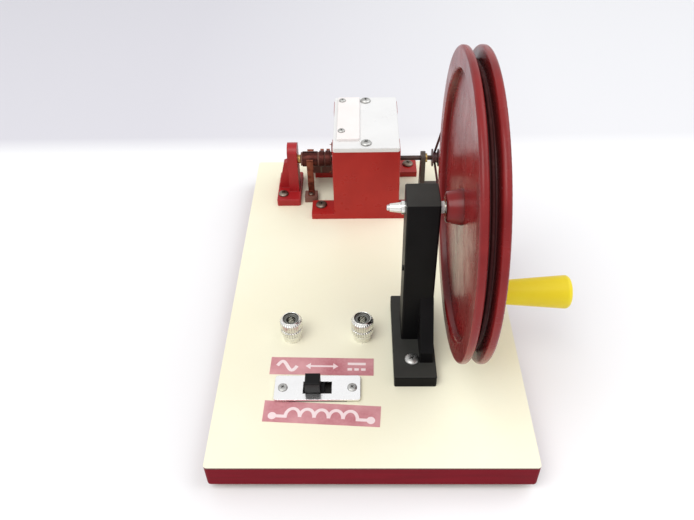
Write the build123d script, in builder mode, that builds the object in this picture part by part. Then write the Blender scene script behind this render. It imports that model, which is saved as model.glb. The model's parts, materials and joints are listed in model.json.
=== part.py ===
from build123d import *
import os
from math import acos, atan2, cos, degrees, dist, hypot, radians, sin, sqrt, tan

# A hand-cranked dynamo demonstration model. Millimetres: X to the right, Y to the back, Z up.
# The origin is on the ground, under the middle of the whole model, handle included.

os.makedirs("parts", exist_ok=True)

# Clearances
running_gap = 0.05  # radial, a shaft in its bush
screw_gap = 0.1  # radial, a screw in its hole
belt_gap = 0.3  # the belt from its grooves
end_play = 0.3  # beside a hub or a grip that turns
brush_gap = 0.15  # a brush leaf from its ring
slide_gap = 0.2  # around the switch's slider
thread_gap = 0.02  # radial, a nut or washer on its bolt

# Shapes that recur
dome_share = 0.55  # a small screw's dome, of its head's radius
screw_edge = 0.3  # the straight edge of a domed head, of its height
screw_stop = 2.0  # board left under a screw
small_rounding = 0.5
radius_match = 0.01  # an edge found by its radius is this near to it

# Board and feet
board_width = 127.0
board_length = 203.0
board_thickness = 12.0
board_corner = 1.5
laminate_thickness = 0.8
band_thickness = 1.2
band_rounding = 1.0
foot_height = 3.5
foot_radius = 6.0
foot_inset = 14.0
foot_recess_radius = 3.5
foot_recess_depth = 2.4
foot_taper = 4
foot_screw_radius = 1.4
foot_screw_head = 2.7
foot_screw_dome = 1.7

# Stand of the drive wheel
stand_from_left = 73.4  # the board's left edge to the foot's left edge
stand_foot_width = 17.5
stand_foot_length = 47.7
stand_foot_thickness = 5.6
stand_edge = 0.8
post_inset = 3.6  # the foot's left edge to the post's left face
post_width = 12.6
post_depth = 14.6
post_above_axle = 5.9
gusset_thickness = 5.4
gusset_reach = 13.0
gusset_height = 25.0
gusset_toe_height = 6.0
gate_mark_radius = 1.1
gate_mark_height = 0.7
gate_mark_from_middle = 4.3
gate_mark_above_deck = 44.8
stand_screw_radius = 1.8
stand_screw_head = 3.0
stand_screw_dome = 1.7
stand_screw_inset = 9.6  # the foot's front edge to the front screw
stand_screw_from_right = 9.9
rear_screw_inset = 5.4
post_to_foot_rear = 12.1

# Drive wheel and its axle
wheel_from_front = 66.2
wheel_radius = 58.2
wheel_clear = 13.4  # under the wheel, above the deck
wheel_half_width = 4.8
rim_width = 7.8
rim_rounding = 1.2
rim_draft = 0.6
groove_depth = 5.6
groove_half_mouth = 2.0
groove_half_floor = 1.25
web_half_thickness = 2.0
hub_radius = 5.8
hub_draft = 1.2
hub_reach_left = 8.2
hub_reach_right = 6.5
hub_rounding = 1.2
axle_radius = 2.0
hub_bush_wall = 1.3
spacer_length = 1.9
spacer_radius = 2.35
axle_nut_size = 7.0
axle_nut_thickness = 2.8
axle_past_nut = 1.0
axle_end_radius = 1.1  # the thin left end, past the stand
axle_past_cap = 1.1
axle_end_rounding = 0.5
axle_chamfer = 0.4
cap_nut_length = 6.0
cap_nut_radius = 2.5
cap_nut_collar = 1.6
cap_nut_neck_radius = 2.05
cap_nut_tip_radius = 1.5
axle_washer_radius = 4.5
axle_washer_thickness = 0.8

# Crank pin and grip
crank_radius = 45.0
crank_boss_radius = 5.0
crank_boss_reach = 5.5
crank_pin_radius = 2.0
crank_pin_depth = 5.6  # held in the wheel's boss
crank_washer_radius = 4.0
crank_washer_thickness = 0.8
pin_head_radius = 3.4
pin_head_thickness = 2.2
pin_head_inset = 0.4
grip_length = 40.0
grip_root_radius = 4.2
grip_end_radius = 7.0
grip_end_rounding = 2.2

# Belt
belt_radius = 0.6

# Dynamo: pole blocks, magnets and cover
dynamo_from_left = 62.85
shaft_from_back = 28.9  # the board's back edge to the armature shaft
shaft_above_deck = 21.5
block_width = 34.0
block_depth = 12.3
block_height = 41.8
block_edge = 0.6
block_foot_length = 12.0
block_foot_thickness = 3.2
block_screw_inset = 4.9  # from the foot's end
block_screw_back = 8.0  # from the front block's outer face
block_screw_back_rear = 4.3  # from the rear block's outer face, clear of the brush bar
block_screw_radius = 1.6
block_screw_head = 3.0
magnet_width = 32.0
magnet_half_height = 7.5
magnet_back = 3.2
air_gap = 0.6
cover_width = 33.2
cover_thickness = 2.4
cover_screw_inset = 4.2
cover_screw_radius = 1.4
cover_screw_head = 2.7
cover_screw_depth = 8.0
cover_screw_short = 1.0  # of its hole
cover_corner = 1.0
cover_rounding = 0.4
strip_from_cover_left = 1.9
strip_width = 11.5
strip_length = 41.5
strip_thickness = 1.5
strip_from_cover_front = 6.3
strip_corner = 0.8
strip_rounding = 0.3
strip_screw_from_left = 2.3
strip_screw_from_front = 7.4
strip_screw_from_rear = 3.8
strip_screw_radius = 0.9
strip_screw_head = 1.8

# Armature
shaft_radius = 1.25
shaft_chamfer = 0.3
core_radius = 9.0
core_length = 26.0
shoe_thickness = 2.4
shoe_half_angle = 52.0
shoe_overlap = 0.2  # of the web into each shoe
web_half_height = 2.2
bobbin_wall = 2.3
wire_radius = 0.475
wire_pitch = 1.4
wire_lift = 0.05
first_run_from_shaft = 2.45  # the run beside the shaft, from the shaft's middle
stand_to_hub = 1.4  # the left bush's flange
ring_hub_radius = 3.1
ring_rim_radius = 3.7
segment_radius = 4.1
ring_radius = 4.4
segment_length = 8.0
ring_length = 2.6
rim_first = 0.9
rim_second = 1.0
rim_third = 0.7
rim_last = 0.5
segment_slot = 0.8
tag_thickness = 0.45
tag_width = 2.0
tag_from_shaft = 0.7
tag_past_wire = 0.4

# Bearings
bearing_from_left = 14.4  # the board's left edge to the left stand's foot
bearing_foot_width = 12.8
bearing_foot_length = 26.7
bearing_foot_thickness = 4.0
bearing_foot_lip = 1.0  # foot to the right of the post
bearing_foot_corner = 1.0
bearing_post_width = 5.3
bearing_post_depth = 9.8
bearing_post_draft = 0.8
bearing_above_shaft = 9.6
bearing_shoulder = 3.3  # the arch's rise
bearing_rib_thickness = 4.0
bearing_rib_height = 20.0
bearing_rib_top = 2.4
bearing_rib_inset = 0.6
bearing_rib_toe = 1.0
bearing_rib_seat = 0.5  # into the post
bearing_rib_rise = 1.2
bearing_screw_inset = 3.3
bearing_screw_from_end = 5.4
bearing_screw_radius = 1.4
bearing_screw_head = 2.7
bush_wall = 0.9
bush_flange_radius = 2.3
bush_flange = 1.0
bracket_gap = 12.4  # the pole block's right face to the bracket
bracket_thickness = 2.4
bracket_top_radius = 3.6
bracket_foot_length = 12.0
bracket_foot_width = 10.5
bracket_corner = 0.8
bracket_screw_radius = 1.2
bracket_screw_head = 2.1
bracket_screw_first = 3.4  # from the bracket's right face
bracket_screw_spacing = 5.4

# Driven pulley
pulley_radius = 4.7
pulley_floor_radius = 2.75
pulley_half_width = 1.9
pulley_half_mouth = 1.3
pulley_half_floor = 0.95
pulley_hub_radius = 2.6
pulley_hub_length = 1.3
shaft_past_pulley = 1.0
shaft_inset = 0.4  # its left end in the left bush

# Brush gear
brush_thickness = 0.4
brush_width = 3.5
ring_brush_width = 1.9
brush_block_height = 3.5
brush_block_depth = 6.2
brush_block_width = 7.0
brush_block_corner = 0.6
brush_foot_length = 5.0
brush_bar_height = 4.8  # the rear bar, on the rear pole block's foot
brush_bar_depth = 4.3
brush_bar_gap = 0.2  # to the rear pole block
brush_bar_left = 3.2  # past the middle of the commutator's leaf
brush_bend_below_shaft = 1.6
brush_tip_above_shaft = 1.6
brush_flare = 0.9
brush_flare_height = 1.2
brush_screw_radius = 0.7
brush_screw_head = 1.35
brush_screw_back = 3.2
brush_screw_short = 0.8  # of the rear bar's height
bar_screw_radius = 1.0
bar_screw_head = 1.7

# Binding posts
terminal_from_left = 29.4
terminal_spacing = 31.0
terminal_from_front = 65.6
socket_radius = 2.0
socket_depth = 9.0
stud_radius = 3.0
stud_height = 11.1
stud_tail_radius = 1.9
collar_radius = 4.1
collar_height = 3.4
knob_radius = 4.9
knob_height = 8.6
knob_waist = 0.5
knob_waist_height = 3.1
knob_waist_width = 0.5
knob_waist_slope = 0.3
knob_chamfer_low = 0.9
knob_chamfer_high = 0.5
knob_lip = 0.2
knob_cup_radius = 3.9
knob_cup_depth = 0.9
knob_rest_gap = 0.05
tail_nut_size = 6.5
tail_nut_thickness = 2.2
tail_past_nut = 0.8

# Slide switch
switch_from_left = 41.8
switch_from_front = 36.3
plate_length = 35.4
plate_width = 12.4
plate_thickness = 0.8
plate_corner = 1.2
plate_screw_spacing = 28.6
plate_screw_radius = 1.3
plate_screw_head = 2.0
plate_screw_dome = 0.7
slot_end_gap = 1.0  # beside the slider at its ends of travel
slider_length = 6.2
slider_width = 5.8
slider_height = 5.9
slider_travel = 3.6
slider_base_lip = 1.6
slider_base_thickness = 1.6
can_length = 22.4
can_width = 10.6
can_depth = 8.4
can_lip = 1.0
can_lip_side = 0.6
can_lip_thickness = 0.9
lug_width = 1.6
lug_thickness = 0.5
lug_length = 2.9
lug_pitch = 5.0
lug_row_spacing = 5.2

# Levels and places worked out from the sizes
deck = foot_height + board_thickness
front = -board_length / 2
back = board_length / 2
wheel_from_left = (
    stand_from_left + post_inset + post_width + spacer_length + end_play + hub_reach_left
)
grip_from_wheel = crank_boss_reach + crank_washer_thickness + end_play
left = -(wheel_from_left + grip_from_wheel + grip_length) / 2
board_x = left + board_width / 2
post_left = left + stand_from_left + post_inset
post_right = post_left + post_width
wheel_x = left + wheel_from_left
wheel_y = front + wheel_from_front
wheel_z = deck + wheel_clear + wheel_radius
dynamo_x = left + dynamo_from_left
shaft_y = back - shaft_from_back
shaft_z = deck + shaft_above_deck
block_face = core_radius + air_gap + magnet_back  # the shaft to a block's inner face
block_back = block_face + block_depth  # the shaft to a block's outer face
cover_z = deck + block_height


def across(x, y, z):
    """The plane whose own x runs along X and whose own y is up, for profiles turned about X."""
    return Plane(origin=(x, y, z), x_dir=(1, 0, 0), z_dir=(0, -1, 0))


def side(x, y, z):
    """The plane whose own x runs along Y and whose own y is up, for profiles seen from the right."""
    return Plane(origin=(x, y, z), x_dir=(0, 1, 0), z_dir=(1, 0, 0))


def screw(shank_radius, length, head_radius, head_height):
    """A domed screw standing on its head's seat at the origin, its shank below."""
    edge = head_height * screw_edge
    dome = head_height - edge
    with BuildPart() as one:
        with BuildSketch(Plane.XZ):
            with BuildLine():
                Polyline(
                    (0, head_height),
                    (0, -length),
                    (shank_radius, -length),
                    (shank_radius, 0),
                    (head_radius, 0),
                    (head_radius, edge),
                )
                RadiusArc(
                    (head_radius, edge),
                    (0, head_height),
                    -(head_radius**2 + dome**2) / (2 * dome),
                )
            make_face()
        revolve(axis=Axis.Z)
    return one.part


def save(piece, name):
    """Labels a finished piece and writes it as its own file."""
    piece.part.label = name
    export_step(piece.part, f"parts/{name}.step")


# Where the screws and holes of the deck are
feet_spots = [
    (board_x + sx * (board_width / 2 - foot_inset), sy * (board_length / 2 - foot_inset))
    for sx in (-1, 1)
    for sy in (-1, 1)
]
stand_front = wheel_y + post_depth / 2 + post_to_foot_rear - stand_foot_length
stand_screw_x = left + stand_from_left + stand_foot_width - stand_screw_from_right
stand_spots = [
    (stand_screw_x, stand_front + stand_screw_inset),
    (stand_screw_x, stand_front + stand_foot_length - rear_screw_inset),
]
block_spots = [
    (
        dynamo_x + sx * (block_width / 2 + block_foot_length - block_screw_inset),
        shaft_y + sy * (block_back - screw_back),
    )
    for sx in (-1, 1)
    for sy, screw_back in ((-1, block_screw_back), (1, block_screw_back_rear))
]
bearing_left = left + bearing_from_left
bearing_spots = [
    (
        bearing_left + bearing_screw_inset,
        shaft_y + sy * (bearing_foot_length / 2 - bearing_screw_from_end),
    )
    for sy in (-1, 1)
]
bracket_left = dynamo_x + block_width / 2 + bracket_gap
bracket_spots = [
    (
        bracket_left + bracket_thickness + bracket_screw_first + i * bracket_screw_spacing,
        shaft_y,
    )
    for i in (0, 1)
]
terminal_spots = [
    (left + terminal_from_left + i * terminal_spacing, front + terminal_from_front)
    for i in (0, 1)
]
switch_x = left + switch_from_left
switch_y = front + switch_from_front
switch_spots = [
    (switch_x + sx * plate_screw_spacing / 2, switch_y) for sx in (-1, 1)
]
post_inner = bearing_left + bearing_foot_width - bearing_foot_lip
post_outer = post_inner - bearing_post_width
ring_left = post_inner + stand_to_hub + end_play
segment_left = ring_left + rim_first
first_ring_left = segment_left + segment_length + rim_second
second_ring_left = first_ring_left + ring_length + rim_third
segment_middle = segment_left + segment_length / 2
first_ring_middle = first_ring_left + ring_length / 2
second_ring_middle = second_ring_left + ring_length / 2
front_brush_spot = (
    segment_middle,
    shaft_y - segment_radius - brush_gap - brush_thickness - brush_screw_back,
)
bar_front = shaft_y + block_face + brush_bar_gap
bar_middle = bar_front + brush_bar_depth / 2
bar_left = segment_middle - brush_bar_left
bar_right = dynamo_x - block_width / 2 - brush_bar_gap
bar_z = deck + block_foot_thickness
rear_brush_spots = [
    (x, bar_middle) for x in (segment_middle, first_ring_middle, second_ring_middle)
]
bar_screw_spot = (
    (segment_middle + brush_width / 2 + first_ring_middle - ring_brush_width / 2) / 2,
    bar_middle,
)
deck_holes = (
    (stand_spots, stand_screw_radius),
    (block_spots, block_screw_radius),
    (bearing_spots, bearing_screw_radius),
    (bracket_spots, bracket_screw_radius),
    (switch_spots, plate_screw_radius),
    ([front_brush_spot], brush_screw_radius),
    ([bar_screw_spot], bar_screw_radius),
)
screw_depth = board_thickness - screw_stop  # how far a deck screw goes into the board

# Base: core, laminate sheet, edge band, feet
with BuildPart() as base_board:
    with BuildSketch(Plane.XY.offset(foot_height)):
        with Locations((board_x, 0)):
            RectangleRounded(
                board_width - 2 * band_thickness,
                board_length - 2 * band_thickness,
                board_corner - band_thickness,
            )
    extrude(amount=board_thickness - laminate_thickness)
    with BuildSketch(Plane.XY.offset(foot_height)):
        with Locations(*terminal_spots):
            Circle(stud_tail_radius + screw_gap)
        with Locations((switch_x, switch_y)):
            Rectangle(can_length + 2 * slide_gap, can_width + 2 * slide_gap)
    extrude(amount=board_thickness, mode=Mode.SUBTRACT)
    for spots, radius in deck_holes:
        with BuildSketch(Plane.XY.offset(deck - screw_depth)):
            with Locations(*spots):
                Circle(radius + screw_gap)
        extrude(amount=screw_depth, mode=Mode.SUBTRACT)
    with BuildSketch(Plane.XY.offset(foot_height)):
        with Locations(*feet_spots):
            Circle(foot_screw_radius + screw_gap)
    extrude(amount=screw_depth - laminate_thickness, mode=Mode.SUBTRACT)
save(base_board, "base_board")

with BuildPart() as laminate_top:
    with BuildSketch(Plane.XY.offset(deck - laminate_thickness)):
        with Locations((board_x, 0)):
            RectangleRounded(board_width, board_length, board_corner)
        with Locations(*terminal_spots):
            Circle(stud_tail_radius + screw_gap, mode=Mode.SUBTRACT)
        with Locations((switch_x, switch_y)):
            Rectangle(
                can_length + 2 * slide_gap, can_width + 2 * slide_gap, mode=Mode.SUBTRACT
            )
        for spots, radius in deck_holes:
            with Locations(*spots):
                Circle(radius + screw_gap, mode=Mode.SUBTRACT)
    extrude(amount=laminate_thickness)
save(laminate_top, "laminate_top")

with BuildPart() as edge_band:
    with BuildSketch(Plane.XY.offset(foot_height)):
        with Locations((board_x, 0)):
            RectangleRounded(board_width, board_length, board_corner)
    extrude(amount=board_thickness - laminate_thickness)
    fillet(edge_band.faces().sort_by(Axis.Z)[0].edges(), band_rounding)
    with BuildSketch(Plane.XY.offset(foot_height)):
        with Locations((board_x, 0)):
            RectangleRounded(
                board_width - 2 * band_thickness,
                board_length - 2 * band_thickness,
                board_corner - band_thickness,
            )
    extrude(amount=board_thickness, mode=Mode.SUBTRACT)
save(edge_band, "edge_band")

with BuildPart() as rubber_feet:
    with BuildSketch():
        with Locations(*feet_spots):
            Circle(foot_radius)
    extrude(amount=foot_height, taper=foot_taper)
    with BuildSketch():
        with Locations(*feet_spots):
            Circle(foot_recess_radius)
    extrude(amount=foot_recess_depth, mode=Mode.SUBTRACT)
    with BuildSketch():
        with Locations(*feet_spots):
            Circle(foot_screw_radius + screw_gap)
    extrude(amount=foot_height, mode=Mode.SUBTRACT)
save(rubber_feet, "rubber_feet")

with BuildPart() as foot_screws:
    foot_screw = screw(
        foot_screw_radius,
        foot_height - foot_recess_depth + screw_depth - 2 * laminate_thickness,
        foot_screw_head,
        foot_screw_dome,
    )
    with Locations(*[(x, y, foot_recess_depth) for x, y in feet_spots]):
        add(foot_screw, rotation=(180, 0, 0))
save(foot_screws, "foot_screws")

# Black moulded stand with its gusset, and its screws
with BuildPart() as wheel_stand:
    with BuildSketch(Plane.XY.offset(deck)):
        with Locations(
            (
                left + stand_from_left + stand_foot_width / 2,
                stand_front + stand_foot_length / 2,
            )
        ):
            RectangleRounded(stand_foot_width, stand_foot_length, stand_edge)
    extrude(amount=stand_foot_thickness)
    fillet(wheel_stand.faces().sort_by(Axis.Z)[-1].edges(), stand_edge / 2)
    with BuildSketch(Plane.XY.offset(deck)):
        with Locations((post_left + post_width / 2, wheel_y)):
            RectangleRounded(post_width, post_depth, stand_edge)
    extrude(amount=wheel_z + post_above_axle - deck)
    fillet(wheel_stand.faces().sort_by(Axis.Z)[-1].edges(), stand_edge / 2)
    with BuildSketch(side(post_right - gusset_thickness, wheel_y - post_depth / 2, deck)):
        with BuildLine():
            Polyline(
                (stand_edge, stand_foot_thickness / 2),
                (-gusset_reach, stand_foot_thickness / 2),
                (-gusset_reach, stand_foot_thickness + gusset_toe_height),
                (0, stand_foot_thickness + gusset_height),
                (stand_edge, stand_foot_thickness + gusset_height),
                close=True,
            )
        make_face()
    extrude(amount=gusset_thickness)
    with Locations(
        Location(
            (post_left, wheel_y - gate_mark_from_middle, deck + gate_mark_above_deck),
            (0, -90, 0),
        )
    ):
        Cylinder(
            gate_mark_radius,
            gate_mark_height,
            align=(Align.CENTER, Align.CENTER, Align.MIN),
        )
    with Locations(Location((post_left, wheel_y, wheel_z), (0, 90, 0))):
        Cylinder(
            axle_radius + screw_gap,
            post_width,
            align=(Align.CENTER, Align.CENTER, Align.MIN),
            mode=Mode.SUBTRACT,
        )
    with BuildSketch(Plane.XY.offset(deck)):
        with Locations(*stand_spots):
            Circle(stand_screw_radius + screw_gap)
    extrude(amount=stand_foot_thickness, mode=Mode.SUBTRACT)
save(wheel_stand, "wheel_stand")

with BuildPart() as wheel_stand_screws:
    with Locations(*[(x, y, deck + stand_foot_thickness) for x, y in stand_spots]):
        add(
            screw(
                stand_screw_radius,
                stand_foot_thickness + screw_depth - laminate_thickness,
                stand_screw_head,
                stand_screw_dome,
            )
        )
save(wheel_stand_screws, "wheel_stand_screws")

# Axle: its thin end in the tapered cap nut left of the stand, its other end in the outer nut
axle_left = post_left - cap_nut_length - axle_past_cap
hub_left = wheel_x - hub_reach_left
hub_right = wheel_x + hub_reach_right
washer_left = hub_right + end_play
outer_nut_left = washer_left + axle_washer_thickness
axle_right = outer_nut_left + axle_nut_thickness + axle_past_nut
wheel_axis = Axis((0, wheel_y, wheel_z), (1, 0, 0))

with BuildPart() as wheel_axle:
    with BuildSketch(Plane.YZ.offset(axle_left)):
        with Locations((wheel_y, wheel_z)):
            Circle(axle_end_radius)
    extrude(amount=post_left - axle_left)
    with BuildSketch(Plane.YZ.offset(post_left)):
        with Locations((wheel_y, wheel_z)):
            Circle(axle_radius)
    extrude(amount=axle_right - post_left)
    fillet(wheel_axle.faces().sort_by(Axis.X)[0].edges(), axle_end_rounding)
    chamfer(wheel_axle.faces().sort_by(Axis.X)[-1].edges(), axle_chamfer)
save(wheel_axle, "wheel_axle")

with BuildPart() as axle_nuts:
    with BuildSketch(across(post_left, wheel_y, wheel_z)):
        with BuildLine():
            Polyline(
                (0, axle_end_radius + thread_gap),
                (0, cap_nut_radius),
                (-cap_nut_collar, cap_nut_radius),
                (-cap_nut_collar, cap_nut_neck_radius),
                (-cap_nut_length, cap_nut_tip_radius),
                (-cap_nut_length, axle_end_radius + thread_gap),
                close=True,
            )
        make_face()
    revolve(axis=wheel_axis)
    with BuildSketch(Plane.YZ.offset(outer_nut_left)):
        with Locations((wheel_y, wheel_z)):
            RegularPolygon(axle_nut_size / 2, 6, major_radius=False, rotation=30)
            Circle(axle_radius + thread_gap, mode=Mode.SUBTRACT)
    extrude(amount=axle_nut_thickness)
save(axle_nuts, "axle_nuts")

with BuildPart() as axle_spacer:
    with BuildSketch(Plane.YZ.offset(post_right)):
        with Locations((wheel_y, wheel_z)):
            Circle(spacer_radius)
            Circle(axle_radius + thread_gap, mode=Mode.SUBTRACT)
    extrude(amount=spacer_length)
save(axle_spacer, "axle_spacer")

with BuildPart() as axle_washer:
    with BuildSketch(Plane.YZ.offset(washer_left)):
        with Locations((wheel_y, wheel_z)):
            Circle(axle_washer_radius)
            Circle(axle_radius + thread_gap, mode=Mode.SUBTRACT)
    extrude(amount=axle_washer_thickness)
save(axle_washer, "axle_washer")

# Drive wheel: two flanges round a deep V groove, a raised rim, a recessed web and a hub
hub_bush_radius = axle_radius + running_gap + hub_bush_wall
rim_inner = wheel_radius - rim_width
groove_floor = wheel_radius - groove_depth
crank_z = wheel_z - crank_radius
crank_face = wheel_x + crank_boss_reach

with BuildPart() as drive_wheel:
    with BuildSketch(across(wheel_x, wheel_y, wheel_z)):
        with BuildLine():
            Polyline(
                (-hub_reach_left, hub_bush_radius),
                (-hub_reach_left, hub_radius),
                (-web_half_thickness, hub_radius + hub_draft),
                (-web_half_thickness, rim_inner - rim_draft),
                (-wheel_half_width, rim_inner),
                (-wheel_half_width, wheel_radius),
                (-groove_half_mouth, wheel_radius),
                (-groove_half_floor, groove_floor),
                (groove_half_floor, groove_floor),
                (groove_half_mouth, wheel_radius),
                (wheel_half_width, wheel_radius),
                (wheel_half_width, rim_inner),
                (web_half_thickness, rim_inner - rim_draft),
                (web_half_thickness, hub_radius + hub_draft),
                (hub_reach_right, hub_radius),
                (hub_reach_right, hub_bush_radius),
                close=True,
            )
        make_face()
    revolve(axis=wheel_axis)
    rim_edges = drive_wheel.edges().filter_by(GeomType.CIRCLE)
    fillet([e for e in rim_edges if abs(e.radius - wheel_radius) < radius_match], rim_rounding)
    rim_edges = drive_wheel.edges().filter_by(GeomType.CIRCLE)
    fillet([e for e in rim_edges if abs(e.radius - rim_inner) < radius_match], rim_rounding)
    hub_edges = drive_wheel.edges().filter_by(GeomType.CIRCLE)
    fillet([e for e in hub_edges if abs(e.radius - hub_radius) < radius_match], hub_rounding)
    with BuildSketch(Plane.YZ.offset(wheel_x)):
        with Locations((wheel_y, crank_z)):
            Circle(crank_boss_radius)
    extrude(amount=crank_boss_reach)
    with BuildSketch(Plane.YZ.offset(crank_face)):
        with Locations((wheel_y, crank_z)):
            Circle(crank_pin_radius + screw_gap)
    extrude(amount=-crank_pin_depth - screw_gap, mode=Mode.SUBTRACT)
save(drive_wheel, "drive_wheel")

with BuildPart() as hub_bush:
    with BuildSketch(Plane.YZ.offset(hub_left)):
        with Locations((wheel_y, wheel_z)):
            Circle(hub_bush_radius)
            Circle(axle_radius + running_gap, mode=Mode.SUBTRACT)
    extrude(amount=hub_right - hub_left)
save(hub_bush, "hub_bush")

# Crank pin, a bolt through the grip whose head sits in the grip's end, and its washer
grip_left = crank_face + crank_washer_thickness + end_play
grip_right = grip_left + grip_length
pin_head_seat = grip_right - pin_head_thickness - pin_head_inset
crank_axis = Axis((0, wheel_y, crank_z), (1, 0, 0))

with BuildPart() as crank_pin:
    with BuildSketch(Plane.YZ.offset(crank_face - crank_pin_depth)):
        with Locations((wheel_y, crank_z)):
            Circle(crank_pin_radius)
    extrude(amount=pin_head_seat + crank_pin_depth - crank_face)
    with BuildSketch(Plane.YZ.offset(pin_head_seat)):
        with Locations((wheel_y, crank_z)):
            Circle(pin_head_radius)
    extrude(amount=pin_head_thickness)
    fillet(crank_pin.faces().sort_by(Axis.X)[-1].edges(), small_rounding)
save(crank_pin, "crank_pin")

with BuildPart() as crank_washer:
    with BuildSketch(Plane.YZ.offset(crank_face)):
        with Locations((wheel_y, crank_z)):
            Circle(crank_washer_radius)
            Circle(crank_pin_radius + thread_gap, mode=Mode.SUBTRACT)
    extrude(amount=crank_washer_thickness)
save(crank_washer, "crank_washer")

with BuildPart() as handle_grip:
    with BuildSketch(across(grip_left, wheel_y, crank_z)):
        with BuildLine():
            swell = (grip_length - grip_end_rounding, grip_end_radius)
            end_top = (grip_length, grip_end_radius - grip_end_rounding)
            Polyline(end_top, (grip_length, 0), (0, 0), (0, grip_root_radius), swell)
            RadiusArc(swell, end_top, grip_end_rounding)
        make_face()
    revolve(axis=crank_axis)
    with BuildSketch(Plane.YZ.offset(grip_left)):
        with Locations((wheel_y, crank_z)):
            Circle(crank_pin_radius + running_gap)
    extrude(amount=grip_length, mode=Mode.SUBTRACT)
    with BuildSketch(Plane.YZ.offset(grip_right)):
        with Locations((wheel_y, crank_z)):
            Circle(pin_head_radius + end_play)
    extrude(amount=pin_head_seat - end_play - grip_right, mode=Mode.SUBTRACT)
save(handle_grip, "handle_grip")

# Open belt: half round the wheel, two straight runs and the turn round the pulley
belt_wheel_radius = groove_floor + belt_gap + belt_radius
belt_pulley_radius = pulley_floor_radius + belt_gap + belt_radius
centre_distance = hypot(shaft_y - wheel_y, shaft_z - wheel_z)
line_angle = degrees(atan2(shaft_z - wheel_z, shaft_y - wheel_y))
open_angle = degrees(acos((belt_wheel_radius - belt_pulley_radius) / centre_distance))
run_length = sqrt(centre_distance**2 - (belt_wheel_radius - belt_pulley_radius) ** 2)


def belt_section(centre, radius, angle):
    """The plane square to the belt, where it leaves the circle at this angle from +Y."""
    out = (0, cos(radians(angle)), sin(radians(angle)))
    way = (0, -sin(radians(angle)), cos(radians(angle)))
    spot = (wheel_x, centre[0] + radius * out[1], centre[1] + radius * out[2])
    return Plane(origin=spot, x_dir=(1, 0, 0), z_dir=way)


with BuildPart() as drive_belt:
    upper = line_angle + open_angle
    lower = line_angle - open_angle
    with BuildSketch(belt_section((wheel_y, wheel_z), belt_wheel_radius, upper)):
        Circle(belt_radius)
    revolve(axis=wheel_axis, revolution_arc=360 - 2 * open_angle)
    with BuildSketch(belt_section((shaft_y, shaft_z), belt_pulley_radius, lower)):
        Circle(belt_radius)
    revolve(
        axis=Axis((0, shaft_y, shaft_z), (1, 0, 0)),
        revolution_arc=2 * open_angle,
    )
    with BuildSketch(belt_section((wheel_y, wheel_z), belt_wheel_radius, upper)):
        Circle(belt_radius)
    extrude(amount=-run_length)
    with BuildSketch(belt_section((wheel_y, wheel_z), belt_wheel_radius, lower)):
        Circle(belt_radius)
    extrude(amount=run_length)
save(drive_belt, "drive_belt")


# Pole blocks with their feet, and the magnets on their inner faces
def pole_block(way):
    """The front block for way -1, the rear one for way 1."""
    middle = shaft_y + way * (block_face + block_depth / 2)
    with BuildPart() as block:
        with BuildSketch(Plane.XY.offset(deck)):
            with Locations((dynamo_x, middle)):
                Rectangle(block_width, block_depth)
        extrude(amount=block_height)
        fillet(block.edges().filter_by(Axis.Z), block_edge)
        with BuildSketch(Plane.XY.offset(deck)):
            with Locations((dynamo_x, middle)):
                RectangleRounded(
                    block_width + 2 * block_foot_length, block_depth, block_edge
                )
        extrude(amount=block_foot_thickness)
        with BuildSketch(Plane.XY.offset(deck)):
            with Locations(*[spot for spot in block_spots if way * (spot[1] - shaft_y) > 0]):
                Circle(block_screw_radius + screw_gap)
            with Locations(bar_screw_spot):
                Circle(bar_screw_radius + screw_gap)
        extrude(amount=block_foot_thickness, mode=Mode.SUBTRACT)
        with BuildSketch(Plane.XY.offset(cover_z)):
            with Locations((dynamo_x, shaft_y + way * (block_back - cover_screw_inset))):
                Circle(cover_screw_radius + screw_gap)
        extrude(amount=-cover_screw_depth, mode=Mode.SUBTRACT)
    return block


pole_block_front = pole_block(-1)
pole_block_rear = pole_block(1)
save(pole_block_front, "pole_block_front")
save(pole_block_rear, "pole_block_rear")

with BuildPart() as pole_block_screws:
    with Locations(*[(x, y, deck + block_foot_thickness) for x, y in block_spots]):
        add(
            screw(
                block_screw_radius,
                block_foot_thickness + screw_depth - laminate_thickness,
                block_screw_head,
                block_screw_head * dome_share,
            )
        )
save(pole_block_screws, "pole_block_screws")


def magnet(way):
    """A bar magnet with a hollowed face towards the armature."""
    bore = core_radius + air_gap
    tip = sqrt(bore**2 - magnet_half_height**2)
    with BuildPart() as bar:
        with BuildSketch(side(dynamo_x - magnet_width / 2, shaft_y, shaft_z)):
            with BuildLine():
                Polyline(
                    (way * tip, magnet_half_height),
                    (way * block_face, magnet_half_height),
                    (way * block_face, -magnet_half_height),
                    (way * tip, -magnet_half_height),
                )
                ThreePointArc(
                    (way * tip, -magnet_half_height),
                    (way * bore, 0),
                    (way * tip, magnet_half_height),
                )
            make_face()
        extrude(amount=magnet_width)
    return bar


magnet_front = magnet(-1)
magnet_rear = magnet(1)
save(magnet_front, "magnet_front")
save(magnet_rear, "magnet_rear")

# White cover over both blocks, with the narrow strip on it
cover_spots = [
    (dynamo_x, shaft_y + way * (block_back - cover_screw_inset)) for way in (-1, 1)
]
strip_x = dynamo_x - cover_width / 2 + strip_from_cover_left + strip_width / 2
strip_y = shaft_y - block_back + strip_from_cover_front + strip_length / 2
strip_screw_x = strip_x - strip_width / 2 + strip_screw_from_left
strip_spots = [
    (strip_screw_x, strip_y - strip_length / 2 + strip_screw_from_front),
    (strip_screw_x, strip_y + strip_length / 2 - strip_screw_from_rear),
]

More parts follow.
